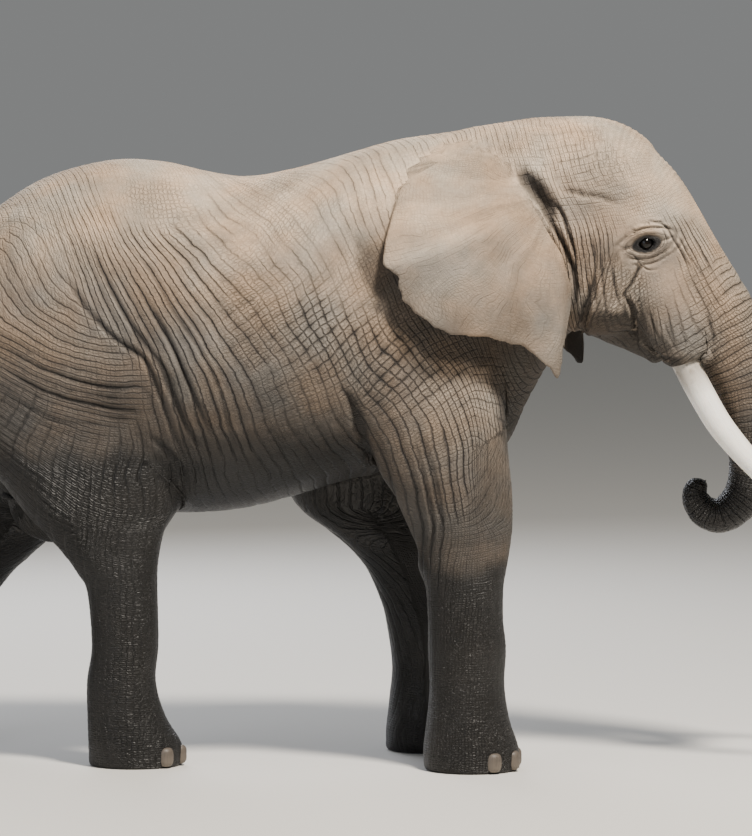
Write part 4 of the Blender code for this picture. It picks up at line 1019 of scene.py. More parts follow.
# %% Drawn folds
# Depth and half width in millimetres, then the line: forward, up.
FOLDS = [
    (46, 32, [(0.80, 2.93), (0.84, 2.885), (0.885, 2.83), (0.925, 2.775), (0.955, 2.72)]),
    (26, 12, [(0.90, 2.79), (0.945, 2.70), (1.005, 2.59), (1.045, 2.49), (1.066, 2.38), (1.062, 2.28)]),
    (20, 9, [(0.955, 2.81), (0.998, 2.74), (1.032, 2.64), (1.06, 2.54), (1.075, 2.44)]),
    (14, 9, [(1.38, 2.49), (1.358, 2.439), (1.337, 2.395), (1.305, 2.351), (1.285, 2.317)]),
    (16, 11, [(1.305, 2.345), (1.322, 2.31), (1.339, 2.268), (1.349, 2.179), (1.36, 2.10)]),
    (10, 8, [(1.093, 2.56), (1.089, 2.414), (1.104, 2.26)]),
    (11, 8, [(1.150, 2.63), (1.162, 2.503), (1.158, 2.390), (1.168, 2.24)]),
    (10, 7, [(1.196, 2.56), (1.197, 2.414), (1.217, 2.23)]),
    (9, 7, [(1.241, 2.50), (1.256, 2.390), (1.280, 2.28)]),
    (7, 7, [(1.364, 2.332), (1.384, 2.243), (1.418, 2.145), (1.453, 2.077)]),
    (6, 6, [(1.418, 2.268), (1.452, 2.170), (1.497, 2.077)]),
    (5, 6, [(1.486, 2.229), (1.521, 2.146), (1.556, 2.067)]),
    (5, 6, [(1.555, 2.229), (1.590, 2.146), (1.614, 2.072)]),
    (8, 6, [(1.412, 2.711), (1.456, 2.698), (1.485, 2.692), (1.515, 2.665), (1.543, 2.61), (1.575, 2.56),
            (1.604, 2.51), (1.636, 2.456)]),
    (8, 6, [(1.563, 2.634), (1.598, 2.571), (1.638, 2.503), (1.685, 2.43)]),
    (5, 7, [(1.637, 2.612), (1.701, 2.504), (1.750, 2.397)]),
    (6, 5, [(1.262, 2.592), (1.300, 2.577), (1.335, 2.583), (1.360, 2.603)]),
    (7, 5, [(1.295, 2.563), (1.339, 2.543), (1.367, 2.515), (1.383, 2.493), (1.418, 2.465), (1.47, 2.47)]),
    (6, 5, [(1.486, 2.668), (1.502, 2.636), (1.510, 2.596)]),
    (9, 9, [(1.705, 2.25), (1.732, 2.160), (1.745, 2.09)]),
    (6, 15, [(1.00, 2.862), (1.107, 2.836), (1.201, 2.821), (1.28, 2.79)]),
    (12, 9, [(1.37, 2.115), (1.405, 2.085), (1.440, 2.055), (1.480, 2.03), (1.530, 2.02)]),
    (8, 12, [(-1.304, 2.592), (-1.206, 2.397), (-1.108, 2.229), (-0.996, 2.09), (-0.897, 1.936),
             (-0.827, 1.726), (-0.743, 1.531)]),
    (8, 12, [(-1.117, 2.593), (-0.991, 2.454), (-0.879, 2.273), (-0.753, 2.092), (-0.655, 1.897),
             (-0.599, 1.66), (-0.557, 1.576)]),
    (11, 14, [(-1.418, 2.438), (-1.305, 2.27), (-1.165, 2.131), (-1.024, 2.034), (-0.961, 1.894),
              (-0.884, 1.656), (-0.828, 1.516)]),
    (10, 13, [(-1.02, 2.328), (-0.908, 2.147), (-0.824, 1.965), (-0.74, 1.77), (-0.656, 1.575)]),
    (10, 13, [(-1.066, 2.159), (-0.968, 2.02), (-0.883, 1.852), (-0.813, 1.684), (-0.743, 1.573)]),
    (7, 12, [(-1.734, 1.987), (-1.564, 1.89), (-1.366, 1.821), (-1.168, 1.793), (-1.027, 1.766)]),
    (7, 12, [(-1.733, 2.086), (-1.535, 1.988), (-1.338, 1.919), (-1.168, 1.892), (-1.055, 1.900),
             (-0.985, 1.836)]),
    (6, 12, [(-1.734, 1.875), (-1.593, 1.791), (-1.423, 1.722), (-1.239, 1.709)]),
    (9, 14, [(-1.013, 1.662), (-0.914, 1.564), (-0.857, 1.465), (-0.844, 1.324)]),
    (7, 14, [(-0.071, 1.911), (-0.022, 1.827), (-0.001, 1.716), (-0.043, 1.59)]),
    (8, 11, [(0.29, 1.64), (0.34, 1.45), (0.38, 1.21), (0.35, 1.02)]),
    (6, 10, [(0.34, 1.66), (0.40, 1.44), (0.425, 1.25), (0.40, 1.08)]),
    (17, 26, [(-0.02, 1.89), (0.0, 1.80), (0.02, 1.70), (0.045, 1.58), (0.075, 1.45), (0.11, 1.32)]),
    (20, 18, [(1.150, 2.42), (1.128, 2.33), (1.105, 2.24), (1.088, 2.16), (1.075, 2.08)]),
]
RIM = 0.35                               # share of a fold's depth that its two rims rise

# Soft swellings and hollows: forward, up, half sizes, lean in degrees, rise.
RELIEF = [
    (1.245, 2.255, 0.060, 0.050, 0, 0.020), (1.300, 2.790, 0.110, 0.070, -20, -0.020),
    (1.110, 2.640, 0.130, 0.045, -10, 0.008), (1.560, 2.300, 0.110, 0.160, -25, 0.010),
    (-0.840, 1.720, 0.110, 0.300, 25, -0.016), (-1.130, 1.870, 0.100, 0.110, 0, 0.022),
    (-1.300, 2.640, 0.130, 0.080, 0, 0.014), (0.010, 1.700, 0.090, 0.200, 8, -0.012),
    (0.420, 1.550, 0.140, 0.300, 12, 0.014), (-1.200, 1.350, 0.120, 0.200, 15, 0.010),
    (0.540, 0.600, 0.130, 0.090, 0, 0.008), (-0.500, 2.300, 0.500, 0.300, 0, 0.008),
]


def drawn(p):
    """Grooves along drawn lines: -depth x exp(-(distance / width)^2), with a rim each side.

    Each line fades at its ends. Distance is taken on the side view, both sides alike.
    """
    rise = np.zeros(len(p))
    for depth, width, line in FOLDS:
        depth, width = depth / 1000, width / 1000
        way = curve(line, int(np.linalg.norm(np.diff(line, axis=0), axis=1).sum() / width * 2) + 8)
        low, high = way.min(0) - 5 * width, way.max(0) + 5 * width
        near = np.flatnonzero(np.all((p[:, ::2] > low) & (p[:, ::2] < high), axis=1))
        if not len(near):
            continue
        gaps = np.linalg.norm(p[near, None, ::2] - way[None], axis=-1)
        nearest = gaps.argmin(1)
        d = gaps[np.arange(len(near)), nearest] / width
        fade = np.sin(np.pi * (nearest + 0.5) / len(way)) ** 0.6
        rise[near] += depth * fade * (RIM * np.exp(-((d - 2.0) / 0.9) ** 2) - np.exp(-d**2))
    return rise


def relief(p):
    """Soft swellings: rise x exp(-(distance / half size)^2), both sides alike."""
    rise = np.zeros(len(p))
    for x, z, rx, rz, lean, height in RELIEF:
        a, b = turned(p[:, 0] - x, p[:, 2] - z, math.radians(lean))
        rise += height * np.exp(-((a / rx) ** 2 + (b / rz) ** 2))
    return rise


# %% Sculpt the folds
FOLD_DEPTH = (0.0055, 0.0065)            # metres, full depth of the pads of each set
NET_DEPTH, SLACK = 0.0016, 0.006         # metres: the fine net, and slow unevenness over muscle
RING_FADE = (1.9, 2.5)                   # length along the head where the trunk's rings grow shallower
GROOVE_FULL = 0.004                      # metres below the pads where a groove counts as deep


def sculpt(p, n, ear):
    """How far each point rises along its normal, and how deep in a groove it lies, 0 to 1, for painted shade.

    Rise is each set's depth x strength x pads, with the net, the drawn folds, the soft
    swellings and slow noise added, and it fades out at the soles.
    """
    flesh, maps = 1 - ear, comb(p)
    first, second = phases(p, maps)
    along = maps[:, 5]
    trunk = smoothstep(TRUNK_FROM - 0.1, TRUNK_FROM + 0.2, along) * (p[:, 0] > 1.2)
    a = smoothstep(0.05, 1.0, maps[:, 2]) * np.maximum(broken(p + 5, 0.25, 0.5), trunk)
    a = a * (1 - 0.35 * trunk * smoothstep(*RING_FADE, along))
    b = smoothstep(0.05, 1.0, maps[:, 3]) * broken(p, 0.30, 0.7)
    pleats = FOLD_DEPTH[0] * a * pads(first) + FOLD_DEPTH[1] * b * pads(second)
    net = NET_DEPTH * smoothstep(0.3, 0.9, maps[:, 4]) * (pads(first * 2 + 0.3) + pads(second * 2))
    lines = drawn(p) * (np.abs(p[:, 1]) > 0.07)
    rise = pleats + net + lines + relief(p) * np.abs(n[:, 1]) + SLACK * (0.5 * rough(p, 0.35, 2) - 0.4)
    # Dirt and painted shade: how deep a point lies in a fold, for the finish to darken.
    groove_shade = np.clip(-(pleats + 0.6 * lines) / GROOVE_FULL, 0, 1)
    return rise * flesh * smoothstep(0.01, 0.06, p[:, 2]), groove_shade * flesh


skin_points = points_of(skin.data)
skin_rise, _ = sculpt(skin_points, normals_of(skin.data), ear_share)
move_points(skin.data, skin_points + skin_rise[:, None] * normals_of(skin.data))
print("folds rise", skin_rise.min().round(4), "to", skin_rise.max().round(4))

# %% [markdown]
# ### Thin the mesh where it is plain
# The melted mesh has far more faces than the back or the ears need. Decimate in collapse
# mode takes them where the surface is flat and keeps them in the folds. The face gets
# more back afterwards, since the eye, its lids and the lips are the finest shapes.

# %% Thin and refine
SKIN_TRIANGLES = 180000
# Eye, closer round the eye, and lips: forward, side, up, radius.
FINE_PLACES = [((1.43, 0.33, 2.585), 0.17), ((1.43, 0.33, 2.585), 0.115), ((1.60, 0.22, 2.06), 0.13)]
triangles = 2 * len(skin.data.vertices)
modified(skin, "DECIMATE", ratio=min(1.0, SKIN_TRIANGLES / triangles), use_collapse_triangulate=True)


def halve(obj, centre, radius):
    """Halves every edge within a radius of a place, on both sides of the animal."""
    bm = bmesh.new()
    bm.from_mesh(obj.data)
    spots = [Vector(centre), Vector((centre[0], -centre[1], centre[2]))]
    near = [e for e in bm.edges if min((e.verts[0].co - s).length for s in spots) < radius]
    bmesh.ops.subdivide_edges(bm, edges=near, cuts=1)
    bmesh.ops.triangulate(bm, faces=[f for f in bm.faces if len(f.verts) > 3])
    bm.to_mesh(obj.data)
    bm.free()


for centre, radius in FINE_PLACES:
    halve(skin, centre, radius)
print("skin triangles", len(skin.data.polygons))

# %% [markdown]
# ### The eye's setting
# An elephant's eye is small in a big head and sits deep, under a brow and behind thick
# lids. The upper lid carries a pale fold like an eyebrow, the lower lid a pouch, and a
# dark wet rim runs round the opening to both corners. All of it is one profile: a
# height that depends on how far out from the eye's middle a point lies, in lid widths.

# %% Eye frame
eye_spot = np.array([EYE_AT[0], -eye_y, EYE_AT[1]])
probe = 0.02 * np.eye(3)
eye_out = unit(flesh_depth(eye_spot + probe) - flesh_depth(eye_spot - probe))
eye_ahead = unit(np.cross(eye_out, [0, 0, -1.0]))
eye_ahead = eye_ahead * np.sign(eye_ahead[0])
eye_up = unit(np.cross(eye_ahead, eye_out))
eye_up = eye_up * np.sign(eye_up[2])
LID_FRONT, LID_BACK, LID_HEIGHT = 0.076, 0.078, 0.046
EYE_TILT = math.radians(13)
EYEBALL = 0.034                          # radius


def eye_places(p):
    """Places round the nearer eye: ahead, up, both in the plane of the lids, and their reach.

    Reach is 1 on the outer edge of the dark rim and 0 at the middle.
    """
    m = p * [1, 0, 1] - np.abs(p) * [0, 1, 0]
    a, b = turned((m - eye_spot) @ eye_ahead, (m - eye_spot) @ eye_up, EYE_TILT)
    wide = np.where(a > 0, LID_FRONT, LID_BACK)
    reach = (np.abs(a / wide) ** 1.45 + np.abs(b / LID_HEIGHT) ** 1.9) ** (1 / 1.7)
    return a, b, reach


def hump(x, middle, width):
    """A rounded ridge: exp(-((x - middle) / width)^2)."""
    return np.exp(-(((x - middle) / width) ** 2))


# Ridges round the eye: millimetres of rise, then middle and width in reach.
WET_RIM = [(4, 0.68, 0.09), (-3, 0.98, 0.07)]
UPPER_LID = [(8, 1.35, 0.26), (-2, 1.28, 0.05), (-7, 1.82, 0.10), (5, 2.15, 0.16), (-5, 2.42, 0.10)]
LOWER_LID = [(5, 1.32, 0.22), (-7, 1.74, 0.10), (5, 2.05, 0.18), (-4, 2.38, 0.12)]
SOCKET_DEPTH, CORNER_DEPTH = 0.024, 0.006


def ridges(reach, rows):
    """The sum of a table's humps, whose heights stand there in thousandths."""
    return sum(rise / 1000 * hump(reach, middle, width) for rise, middle, width in rows)


def eye_setting(p):
    """Rise of the lids, and how dark the rim is, at points of the head."""
    _, b, reach = eye_places(p)
    socket = -SOCKET_DEPTH * (1 - smoothstep(0.50, 0.60, reach))
    lids = smoothstep(-0.01, 0.02, b) * ridges(reach, UPPER_LID)
    lids = lids + smoothstep(0.01, -0.02, b) * ridges(reach, LOWER_LID)
    corner = smoothstep(0.9, 1.1, reach) * (1 - smoothstep(1.3, 1.9, reach))
    corner = -CORNER_DEPTH * hump(b, -0.004, 0.006) * corner
    return socket + ridges(reach, WET_RIM) + lids + corner, 1 - smoothstep(0.86, 1.06, reach)


def set_eyes(mesh):
    """Relaxes the halved mesh round the eyes, then moves it to the lids' profile."""
    p = points_of(mesh)
    _, _, reach = eye_places(p)
    near = inside_box(p, (1.2, 1.65), (2.35, 2.8), 1e-6) * (np.abs(p[:, 1]) > 0.15)
    relax(mesh, near * (1 - smoothstep(1.4, 2.2, reach)), 12)
    p = points_of(mesh)
    rise, _ = eye_setting(p)
    out = np.where(p[:, 1:2] < 0, eye_out, eye_out * [1, -1, 1])
    rise = rise * near * (1 - smoothstep(2.3, 3.0, reach))
    move_points(mesh, p + rise[:, None] * out)


set_eyes(skin.data)
print("eye faces", eye_out.round(2), "and looks ahead along", eye_ahead.round(2))

# %% [markdown]
# ### What the finish needs to know
# The finish is drawn by nodes, but they can't measure the animal. So the script writes
# four small vectors on every point: where the point lies on the two combed maps, how
# strong the lines and the net are there, how wet and dusty the hide is, how much painted
# shade it gets in grooves and creases and painted shadow under the ear, on the chest and
# under the jaw, and whether it is ear, wet rim or damp hide. Painted shade also rides on
# the wet share inside the legs and under the belly, and on the damp share towards the bottom.

# %% Marks on the skin
# The water line of the wading animal: forward, up.
TIDE = [(-2.5, 1.50), (-1.9, 1.55), (-1.45, 1.52), (-1.1, 1.60), (-0.85, 1.52), (-0.4, 1.48), (0.05, 1.40),
        (0.30, 1.10), (0.55, 1.02), (0.9, 1.00), (1.3, 1.2), (1.6, 1.42), (2.2, 1.50)]
TIDE_WAVES, DAMP_AND_SHADE_REACH = 0.07, 1.10      # metres: how ragged it is, and how far above it hide is damp and painted darker as shade
MARK_FROM, MARK_FULL = 0.020, 0.032      # distance off the flesh where the finish turns to ear
STREAK = (1.255, 2.490, 0.058, 0.036)    # wet patch of the gland behind the eye: forward, up, half sizes
EAR_HUB, EAR_RAY = (0.98, 2.86), 0.085   # where the ear's fine folds fan out from, and radians apart
EAR_FOLDS = (0.20, 0.09, 0.20)           # strength of rays, of arcs across them and of the net
LID_FOLDS = (0.45, 0.12, 0.35)           # strength of rings round the eye, of rays and of the net
LID_RINGS, LID_RAYS = 2.3, 2.2           # rings per reach, rays per radian
SIDEWAYS_COUNT = 20                      # folds that a metre sideways counts as, for patterns with depth
# Painted shade in the creases round the eye: thousandths of full darkness, then middle and width in reach.
LID_CREASE_SHADE = [(700, 1.80, 0.06), (400, 1.30, 0.05), (350, 2.35, 0.06)]
# Front edge of the painted shadow on the chest: up, forward.
CHEST_SHADOW_EDGE = [(1.50, 0.73), (1.60, 0.708), (1.72, 0.68), (1.865, 0.635), (1.977, 0.613), (2.055, 0.578),
              (2.20, 0.53)]
PAINTED_SHADE_SHARE = 0.95                              # how dark the painted shade and shadow are, as a share of full darkness


def painted_shadow(p, n, ear):
    """Share of painted shadow: under the ear's rim, on the chest, under the jaw, and on the far ear's tip."""
    flesh, ragged = 1 - ear, 0.02 * rough(p, 0.09, 2)
    outside = smoothstep(0.25, 0.4, np.abs(p[:, 1])) * (1 - smoothstep(0.9, 1.05, p[:, 0]))
    outside = outside * smoothstep(2.72, 2.55, p[:, 2])
    under_ear = PAINTED_SHADE_SHARE * smoothstep(-0.165, -0.12, inside_line(p, EAR_OUTLINE) + ragged) * outside
    chest = smoothstep(0.0, 0.06, p[:, 0] - np.interp(p[:, 2], *np.array(CHEST_SHADOW_EDGE).T) + ragged)
    chest = PAINTED_SHADE_SHARE * chest * inside_box(p, (0.5, 1.0), (1.55, 2.30), 0.06)
    under_jaw = smoothstep(-0.10, -0.60, n[:, 2]) * inside_box(p, (1.08, 1.56), (1.95, 2.30), 0.05)
    far_tip = ear * (p[:, 1] > 0.2) * inside_box(p, (0.98, 1.2), (1.9, 2.25), 0.05)
    return np.max([flesh * under_ear, flesh * chest, flesh * under_jaw, far_tip], axis=0)


def wetness_and_shade(p, n):
    """How wet the hide is, and how damp: wet below the water line, damp fading out above it.

    Painted shade is added to the wet share on the inner sides of the legs and under the belly,
    and the damp share also serves as painted shade, darker towards the bottom.
    """
    above = p[:, 2] - np.interp(p[:, 0], *np.array(TIDE).T) - TIDE_WAVES * rough(p, 0.25)
    inner_leg_shade = smoothstep(0.1, -0.5, n[:, 1] * np.sign(p[:, 1])) * smoothstep(1.7, 1.5, p[:, 2])
    belly_shade = smoothstep(-0.2, -0.75, n[:, 2]) * smoothstep(1.8, 1.6, p[:, 2])
    wet_and_shade = np.max([1 - smoothstep(-0.06, 0.07, above), PAINTED_SHADE_SHARE * inner_leg_shade, PAINTED_SHADE_SHARE * belly_shade], axis=0)
    return wet_and_shade, 1 - smoothstep(0.0, DAMP_AND_SHADE_REACH, above)


def fold_counts(p, ear, near_eye):
    """Counts of both sets of folds and the strengths of sets and net, on body, ears and lids.

    On an ear the first set are rays from its hub and the second arcs round it, and at the
    lids the first set are rings of equal reach and the second rays from the eye.
    """
    maps = comb(p)
    first, second = phases(p, maps)
    back, up = EAR_HUB[0] - p[:, 0], p[:, 2] - EAR_HUB[1]
    rays = np.arctan2(up, back) / EAR_RAY + 1.2 * rough(p, 0.25, 2) + 0.3 * rough(p, 0.08, 2)
    arcs = np.hypot(back, up) / SECOND_SPACING + 0.3 * rough(p, 0.12, 2)
    on_ear = ear > 0.5
    first, second = np.where(on_ear, rays, first), np.where(on_ear, arcs, second)
    folds = np.where(on_ear[:, None], EAR_FOLDS, maps[:, 2:5]) * np.abs(2 * ear - 1)[:, None]
    ahead, up, reach = eye_places(p)
    at_lids = near_eye & (eye_gap(p) < LIDS_END)
    first = np.where(at_lids, LID_RINGS * reach + 0.3 * rough(p, 0.04, 2), first)
    second = np.where(at_lids, LID_RAYS * np.arctan2(up, ahead) + 0.4 * rough(p, 0.04, 2), second)
    lid_folds = np.array(LID_FOLDS) * (1 - smoothstep(0.09, LIDS_END, eye_gap(p)))[:, None]
    return first, second, np.where(at_lids[:, None], lid_folds, folds)


def write_marks(mesh):
    """Four vectors on every point: lie, folds, finish and region."""
    p, n = points_of(mesh), normals_of(mesh)
    ear = ear_cover(p, MARK_FROM, MARK_FULL)
    near_eye = np.all(np.abs(p[:, ::2] - EYE_AT) < 0.15, axis=1) & (np.abs(p[:, 1]) > 0.2)
    first, second, folds = fold_counts(p, ear, near_eye)
    # Wet and damp hide, each with painted shade mixed in.
    wet_and_shade, damp_and_shade = wetness_and_shade(p, n)
    top = smoothstep(-0.2, 0.9, n[:, 2]) * smoothstep(1.6, 2.9, p[:, 2])
    _, groove_shade = sculpt(p, n, ear)
    _, dark = eye_setting(p)
    crease_shade = ridges(eye_places(p)[2], LID_CREASE_SHADE)
    # Painted shade and shadow in grooves, creases and under ear, chest and jaw, with the eye's own dark wet
    # rim.
    shade_and_dark_rim = np.max([groove_shade, (dark + crease_shade) * near_eye, painted_shadow(p, n, ear)], axis=0)
    streak = np.exp(-(((p[:, ::2] - STREAK[:2]) / STREAK[2:]) ** 4).sum(1))
    streak = streak * (np.abs(p[:, 1]) > 0.15) * smoothstep(-0.9, 0.1, rough(p, 0.05))
    for name, values in {
        "lie": (first, second, p[:, 1] * SIDEWAYS_COUNT),
        "folds": folds.T,
        "finish": (wet_and_shade, top, shade_and_dark_rim),
        "region": (ear, np.maximum(dark * near_eye, 0.75 * streak), damp_and_shade),
    }.items():
        write_attribute(mesh, name, np.stack(values, axis=1))
    print("wet share", wet_and_shade.mean().round(2), "ear share", ear.mean().round(2))


write_marks(skin.data)
move_points(skin.data, points_of(skin.data) + np.array([FORWARD, 0, 0]))
skin.data.shade_smooth()

# %% [markdown]
# ## The finish of the hide
# Dry elephant hide is dull grey-brown, dusted paler on top with dried mud. It has no
# gloss but soaks up light, and its cracks stay dark because dust and shadow fill them.
# Where the animal waded it is nearly black and has a wet sheen. The cracks are drawn as
# lines on the combed maps: a line lies wherever the count of folds passes a whole
# number. The same lines are cut into the bump and painted darker, as in real hide.

# %% Skin material
# The damp and wet colours also serve as painted shade low on the body, inside the legs and under the belly;
# the groove colour paints shade in cracks and folds and the shadow under the ear, chest and jaw.
HIDE_DUST, HIDE_DRY, HIDE_DAMP_AND_SHADE = "#C9B7A2", "#77706A", "#333231"
HIDE_WET_AND_SHADE, HIDE_RIM, HIDE_GROOVE = "#0D0D0D", "#0C0C0E", "#1D1B1A"
TINT_GREY, TINT_EARTH = "#EDF2F5", "#FFF0E0"
CRACK_RELIEF = 0.0090                    # metres from the bottom of a crack to the top of a pad
HALF_WIDTH, QUARTER_WIDTH = 0.18, 0.22   # half widths of the cracks, as shares of their spacing
FIRM_AT = 0.75                           # strength at which a set of lines shows in full
RGBA = {"data_type": "RGBA"}


def crack(node, count, wide):
    """1 on every whole number of the count, falling smoothly to 0 at a share of a fold away."""
    return node("MapRange SMOOTHSTEP", node("Math PINGPONG", count, 0.5), 0.0, wide, 1.0, 0.0)


def hide_cracks(node, where, lie, folds):
    """How deep a point lies in a crack, 0 to 1, and the patches where the fine net is strong."""
    first, second, across = lie
    long_one, long_two, net = folds
    wobble, ripple = (
        node("Math MULTIPLY", node("Math SUBTRACT", node("TexNoise", where, scale, 2.0), 0.5), swing)
        for scale, swing in ((22.0, 1.7), (60.0, 1.3)))
    patch = node("MapRange", node("TexNoise", where, 4.0, 3.0), 0.33, 0.62, 0.30)
    laid = node("CombineXYZ", first, second, across)
    firm_net = node("MapRange", net, 0.0, FIRM_AT)
    fine = node("Math MULTIPLY", firm_net, node("Math MULTIPLY", patch, 0.78))

    def line_set(count, drift, stretch, strength):
        """Cracks on every half fold and fainter ones on each quarter, as strong as asked.

        Weak lines are broken into dashes: noise drawn out along the lines decides where.
        """
        along = node("TexNoise", node("Mapping", laid, named={"Scale": stretch}), 1.0, 1.0)
        dash = node("MapRange", node("Math MULTIPLY_ADD", strength, 0.40, along), 0.47, 0.66)
        doubled = node("Math MULTIPLY_ADD", drift, 0.25, node("Math MULTIPLY", count, 2.0))
        halves = node("Math MULTIPLY", crack(node, doubled, HALF_WIDTH), dash)
        halves = node("Math MULTIPLY", halves, node("MapRange", strength, 0.0, FIRM_AT))
        quarters = crack(node, node("Math MULTIPLY_ADD", count, 4.0, drift), QUARTER_WIDTH)
        return node("Math MAXIMUM", halves, node("Math MULTIPLY", quarters, fine))

    long_lines = node("Math MAXIMUM", line_set(first, wobble, (2.0, 0.6, 0.3), long_one),
                      line_set(second, ripple, (0.6, 2.0, 0.3), long_two))
    cells = node("TexVoronoi DISTANCE_TO_EDGE", laid, 2.6, named={"Randomness": 0.9})
    cells = node("MapRange SMOOTHSTEP", cells, 0.0, 0.16, 1.0, 0.0)
    cells = node("Math MULTIPLY", cells, node("Math MULTIPLY", firm_net, 0.26))
    return node("Math MAXIMUM", long_lines, cells), patch, laid


def hide_material():
    """Living elephant hide, dusty above and wet below, with painted shade in its folds and low down."""
    mat, shader, node = new_material("elephant_hide_dusted_wet_and_shaded")
    lie, folds, finish, region = (
        node("SeparateXYZ", node("Attribute", out="Vector", attribute_name=name), out=None)
        for name in ("lie", "folds", "finish", "region"))
    wet_and_shade, dusty, groove_shade = finish
    ear, rim, damp_and_shade = region
    where = node("TexCoord", out="Object")
    cracks, patch, laid = hide_cracks(node, where, lie, folds)

    pits = node("TexVoronoi", where, 130.0)
    height = node("Math SUBTRACT", 1.0, cracks)
    height = node("Math MULTIPLY_ADD", pits, node("Math MULTIPLY_ADD", wet_and_shade, -0.08, 0.10), height)
    height = node("Math MULTIPLY_ADD", node("TexNoise", where, 90.0, 4.0), 0.22, height)
    bump = node("Bump", named={"Height": height, "Strength": 1.0, "Distance": CRACK_RELIEF})

    dust = node("Math MULTIPLY_ADD", patch, 0.42, node("Math MULTIPLY", dusty, 0.82))
    dry = node("Mix", dust, linear(HIDE_DRY), linear(HIDE_DUST), **RGBA)
    # Damp hide, and painted shade that grows darker towards the bottom.
    dry = node("Mix", node("Math MULTIPLY", damp_and_shade, 0.80), dry, linear(HIDE_DAMP_AND_SHADE), **RGBA)
    trail = node("Mapping", laid, named={"Scale": (0.5, 0.10, 0.05)})
    shade = node("Math MULTIPLY_ADD", ear, -0.21, 1.0)
    for place, scale, detail, darkest, palest in (
            (where, 2.6, 5.0, 0.76, 1.14), (trail, 1.0, 4.0, 0.74, 1.14), (where, 45.0, 4.0, 0.90, 1.08)):
        mottle = node("MapRange", node("TexNoise", place, scale, detail), 0.3, 0.7, darkest, palest)
        shade = node("Math MULTIPLY", shade, mottle)
    tint = node("MapRange", node("TexNoise", where, 3.1, 4.0), 0.36, 0.64)
    tint = node("Mix", tint, linear(TINT_GREY), linear(TINT_EARTH), **RGBA)
    for layer in (node("CombineColor", shade, shade, shade), tint):
        dry = node("Mix MULTIPLY", 1.0, dry, layer, **RGBA)

    # Painted shade: cracks, grooves and the shadow under ear, chest and jaw go dark; wet hide, with the shaded
    # belly and inner legs, goes nearly black.
    coat = dry
    for share, strength, colour in (
            (cracks, node("Math MULTIPLY_ADD", dusty, -0.22, 0.74), HIDE_GROOVE), (groove_shade, 0.80, HIDE_GROOVE),
            (wet_and_shade, 0.92, HIDE_WET_AND_SHADE), (rim, 0.92, HIDE_RIM)):
        coat = node("Mix", node("Math MULTIPLY", share, strength), coat, linear(colour), **RGBA)
    moist = node("Math MAXIMUM", node("Math MULTIPLY", damp_and_shade, 0.5), node("Math MAXIMUM", wet_and_shade, rim))
    gloss = node("MapRange", moist, 0.0, 1.0, 0.86, 0.44)
    fill(shader, named={"Base Color": coat, "Roughness": gloss, "Normal": bump, "Specular IOR Level": 0.38})
    return mat


FLESH_NODES = [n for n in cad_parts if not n.startswith(("eye", "tusk", "nail", "tail_tuft"))]
skin.data.materials.clear()
skin.data.materials.append(hide_material())
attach(skin, "root")
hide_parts(*FLESH_NODES)
print("one skin stands for", len(FLESH_NODES), "solids of flesh")

# %% [markdown]
# ## Eyes
# The eyeball is a dark amber-brown ball, so dark that it reads as black from a distance.
# Its front bulges where the clear cornea covers iris and pupil, and that wet bulge
# catches the lamps. It is a sphere with a second, smaller sphere swelling out of its
# front, and its colour follows how far a point lies from the line of sight.

# %% Eyeballs
HANDS = ((-1, "right"), (1, "left"))
CORNEA_RISE, CORNEA_WIDTH = 0.06, 0.42   # share of the radius, radians
EYE_SHOWS = 0.0085                       # metres that the ball stands out of its socket


def piece(name, points, faces, mat, replaced, slot):
    """A finished piece: mesh in place, smooth, with its material, body and solids; slot is not used."""
    obj = mesh_object(name, points + [FORWARD, 0, 0], faces)
    obj.data.shade_smooth()
    obj.data.materials.append(mat)
    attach(obj, "root")
    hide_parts(*replaced)
    return obj


def eyeball_surface(side, around=48, rings=32):
    """Angle from the line of sight by angle round it, with the cornea as a bulge in front.

    The radius is EYEBALL x (1 + CORNEA_RISE x exp(-(angle / CORNEA_WIDTH)^2)).
    """
    out = unit(eye_out * [1, -side, 1] + [0.10, 0, -0.02])
    centre = eye_spot * [1, -side, 1] - out * (EYEBALL - EYE_SHOWS)
    ahead = unit(np.cross(out, [0, 0, 1.0]))
    up = np.cross(out, ahead)
    angle, turn = np.linspace(0.02, np.pi - 0.02, rings)[:, None], round_turns(around)[None]
    radius = EYEBALL * (1 + CORNEA_RISE * np.exp(-((angle / CORNEA_WIDTH) ** 2)))
    ball = (np.cos(angle) * radius * np.ones_like(turn))[..., None] * out
    ball = ball + (np.sin(angle) * radius * np.cos(turn))[..., None] * ahead
    ball = ball + (np.sin(angle) * radius * np.sin(turn))[..., None] * up
    sight = np.broadcast_to(angle, ball.shape[:2]).ravel()
    return (centre + ball).reshape(-1, 3), ring_faces(rings, around), sight


def eye_material():
    """Wet cornea over a dark brown iris: black at the pupil, amber ring, dark white of the eye."""
    mat, shader, node = new_material("wet_eye_under_cornea")
    rays = node("TexNoise", node("TexCoord", out="Object"), 320.0)
    sight = node("Attribute", out="Fac", attribute_name="sight")
    ramp = node("ValToRGB", node("Math MULTIPLY_ADD", rays, 0.10, sight))
    stops = ((0.0, "#010101"), (0.22, "#020202"), (0.27, "#150D07"),
             (0.44, "#0D0805"), (0.52, "#050404"), (1.0, "#0B0908"))
    bands = ramp.node.color_ramp.elements
    while len(bands) < len(stops):
        bands.new(0.5)
    for band, (place, colour) in zip(bands, stops):
        band.position, band.color = place, linear(colour)
    fill(shader, named={"Base Color": ramp, "Roughness": 0.10, "IOR": 1.376})
    return mat


eye_look = eye_material()
for side, hand in HANDS:
    points, faces, sight = eyeball_surface(side)
    ball = piece("eyeball_" + hand, points, faces, eye_look, ["eye_" + hand], "eye")
    write_attribute(ball.data, "sight", sight)
print("eyeballs", round(2000 * EYEBALL), "mm across")

